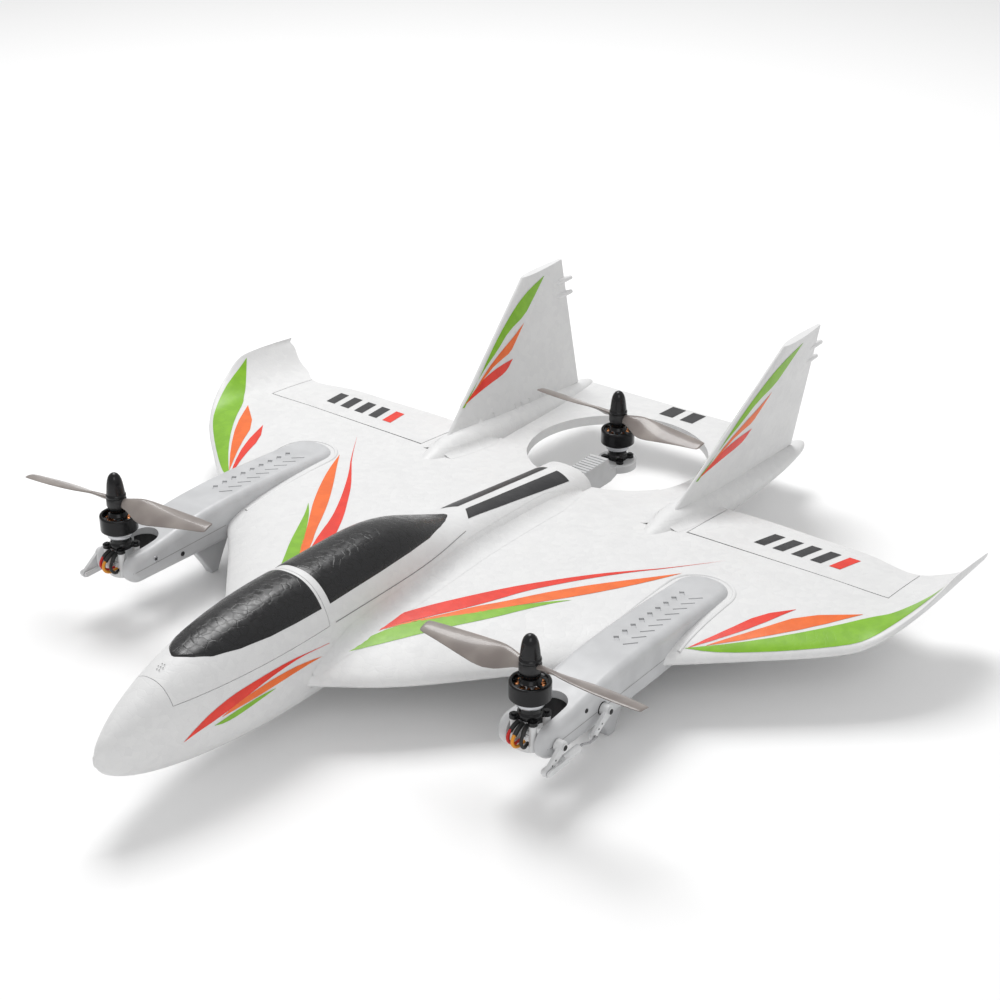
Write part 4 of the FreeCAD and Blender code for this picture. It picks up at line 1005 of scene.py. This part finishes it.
def add_propeller(place, hand, yaw_deg):
    body = "rotor_" + place
    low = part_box("spinner_" + place)[0]
    can_low, can_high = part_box("motor_bell_" + place)
    centre = Vector(((can_low.x + can_high.x) / 2, (can_low.y + can_high.y) / 2,
                     low.z - HUB_HALF / 1000))
    yaw = math.radians(yaw_deg)
    points, faces = [], []
    stations = len(BLADE_STATIONS)
    for half_turn in (0, math.pi):
        start = len(points)
        for radius in BLADE_STATIONS:
            chord, thickness, ahead = blade_section(radius)
            pitch = math.atan(BLADE_PITCH / (2 * math.pi * max(radius, ROOT_RADIUS)))
            ring = foil_ring(chord, thickness, ahead)
            size = len(ring)
            points += [centre + blade_point(radius, u, v, pitch, half_turn, hand, yaw) * 0.001
                       for u, v in ring]
        for r in range(stations - 1):
            for k in range(size):
                a = start + r * size + k
                b = start + r * size + (k + 1) % size
                faces.append([a, b, b + size, a + size])
        faces.append([start + k for k in range(size)][::-1])
        faces.append([start + (stations - 1) * size + k for k in range(size)])
    piece = add_mesh("propeller_blades_" + place, points, faces, PROPELLER, body)
    tidy_normals(piece)
    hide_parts("propeller_" + place)
    hub_centre = (centre - TILT_ORIGIN) * 1000
    turned("propeller_hub_" + place,
           [(4.2, -HUB_HALF), (4.75, -2.3), (5.0, -1.6), (4.95, 1.5), (4.7, 2.2), (4.3, HUB_HALF)],
           hub_centre, UP, BLACK_PLASTIC, body)
    nose = turned("spinner_cap_" + place,
                  [(4.2, 0.0), (4.75, 0.1), (4.9, 0.4), (4.9, 1.3), (4.7, 1.6), (4.5, 1.7),
                   (4.45, 2.6), (4.2, 5.0), (3.9, 7.4), (3.5, 9.4), (2.9, 11.0), (2.0, 12.2),
                   (1.0, 12.8), (0.02, 12.95)],
                  hub_centre + Vector((0, 0, HUB_HALF)), UP, ANODISED, body)
    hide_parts("spinner_" + place)


def tidy_normals(piece):
    mesh = bmesh.new()
    mesh.from_mesh(piece.data)
    bmesh.ops.recalc_face_normals(mesh, faces=mesh.faces)
    mesh.to_mesh(piece.data)
    mesh.free()


# ---- tail bracket ------------------------------------------------------------------------
TAIL_ROTOR_Y = 249.7
POD_LENGTH = 20.9
FIN_LEAN = math.tan(math.radians(9.8))
FIN_ROOT_X = 72.0


def add_bracket_details():
    turned("cup_rim", [(10.55, -5.6), (10.62, -5.3), (10.5, -4.95), (9.6, -4.75), (9.3, -4.95)],
           (0, TAIL_ROTOR_Y, 0), UP, WHITE_PLASTIC, "airframe")


def add_fin_pods():
    """Tapered foam pods round the rods at the rear edge of each fin."""
    profile = [(0.05, 0), (0.8, 1.2), (1.5, 4), (1.9, 8), (1.85, 13), (1.5, 17.5), (0.9, 20),
               (0.05, POD_LENGTH)]
    for side_name, side in SIDES:
        for k, (height, end) in enumerate(((61.0, 321.0), (53.0, 319.5))):
            start = (side * (FIN_ROOT_X + height * FIN_LEAN), end - POD_LENGTH, height + 1.6)
            turned(f"fin_pod_{k}_{side_name}", profile, start, (0, 1, -0.08), FOAM, "airframe",
                   20)


# ---- stage -----------------------------------------------------------------------------------
FLOOR_REACH = 8.0
WORLD_STRENGTH = 0.56
# Each lamp: its name, place in metres, size and power in watts.
LAMPS = (("key_light", (-0.55, 0.45, 1.45), 0.8, 17.0),
         ("front_light", (0.9, -0.9, 1.1), 0.9, 4.0))
LAMP_TARGET = Vector((0, 0, 0.03))


def add_stage():
    mesh = bpy.data.meshes.new("floor")
    signs = ((-1, -1), (1, -1), (1, 1), (-1, 1))
    corners = [(x * FLOOR_REACH, y * FLOOR_REACH, 0) for x, y in signs]
    mesh.from_pydata(corners, [], [[0, 1, 2, 3]])
    floor = bpy.data.objects.new("floor", mesh)
    bpy.context.scene.collection.objects.link(floor)
    material, _, shader = new_material("floor_paint", (0.93, 0.93, 0.93), 0.9)
    shader.inputs["Specular IOR Level"].default_value = 0.1
    mesh.materials.append(material)
    world = bpy.data.worlds.new("studio")
    bpy.context.scene.world = world
    world.use_nodes = True
    background = world.node_tree.nodes["Background"]
    background.inputs["Color"].default_value = (1.0, 1.0, 1.0, 1)
    background.inputs["Strength"].default_value = WORLD_STRENGTH
    for name, place, size, watts in LAMPS:
        light = bpy.data.lights.new(name, "AREA")
        light.size = size
        light.energy = watts
        lamp = bpy.data.objects.new(name, light)
        bpy.context.scene.collection.objects.link(lamp)
        lamp.location = place
        lamp.rotation_mode = "QUATERNION"
        lamp.rotation_quaternion = (LAMP_TARGET - Vector(place)).to_track_quat("-Z", "Y")
    bpy.context.scene.view_settings.view_transform = "Standard"


add_blends()
add_canopy()
add_wing_films()
add_fin_films()
add_bars()
add_nacelle_details()
add_leads()
add_lever_details()
add_motor("left", "tilt_left")
add_motor("right", "tilt_right")
add_motor("tail", "airframe")
add_propeller("left", -1, 0.9)
add_propeller("right", 1, 7.0)
add_propeller("tail", 1, -4.8)
add_bracket_details()
add_fin_pods()
add_stage()
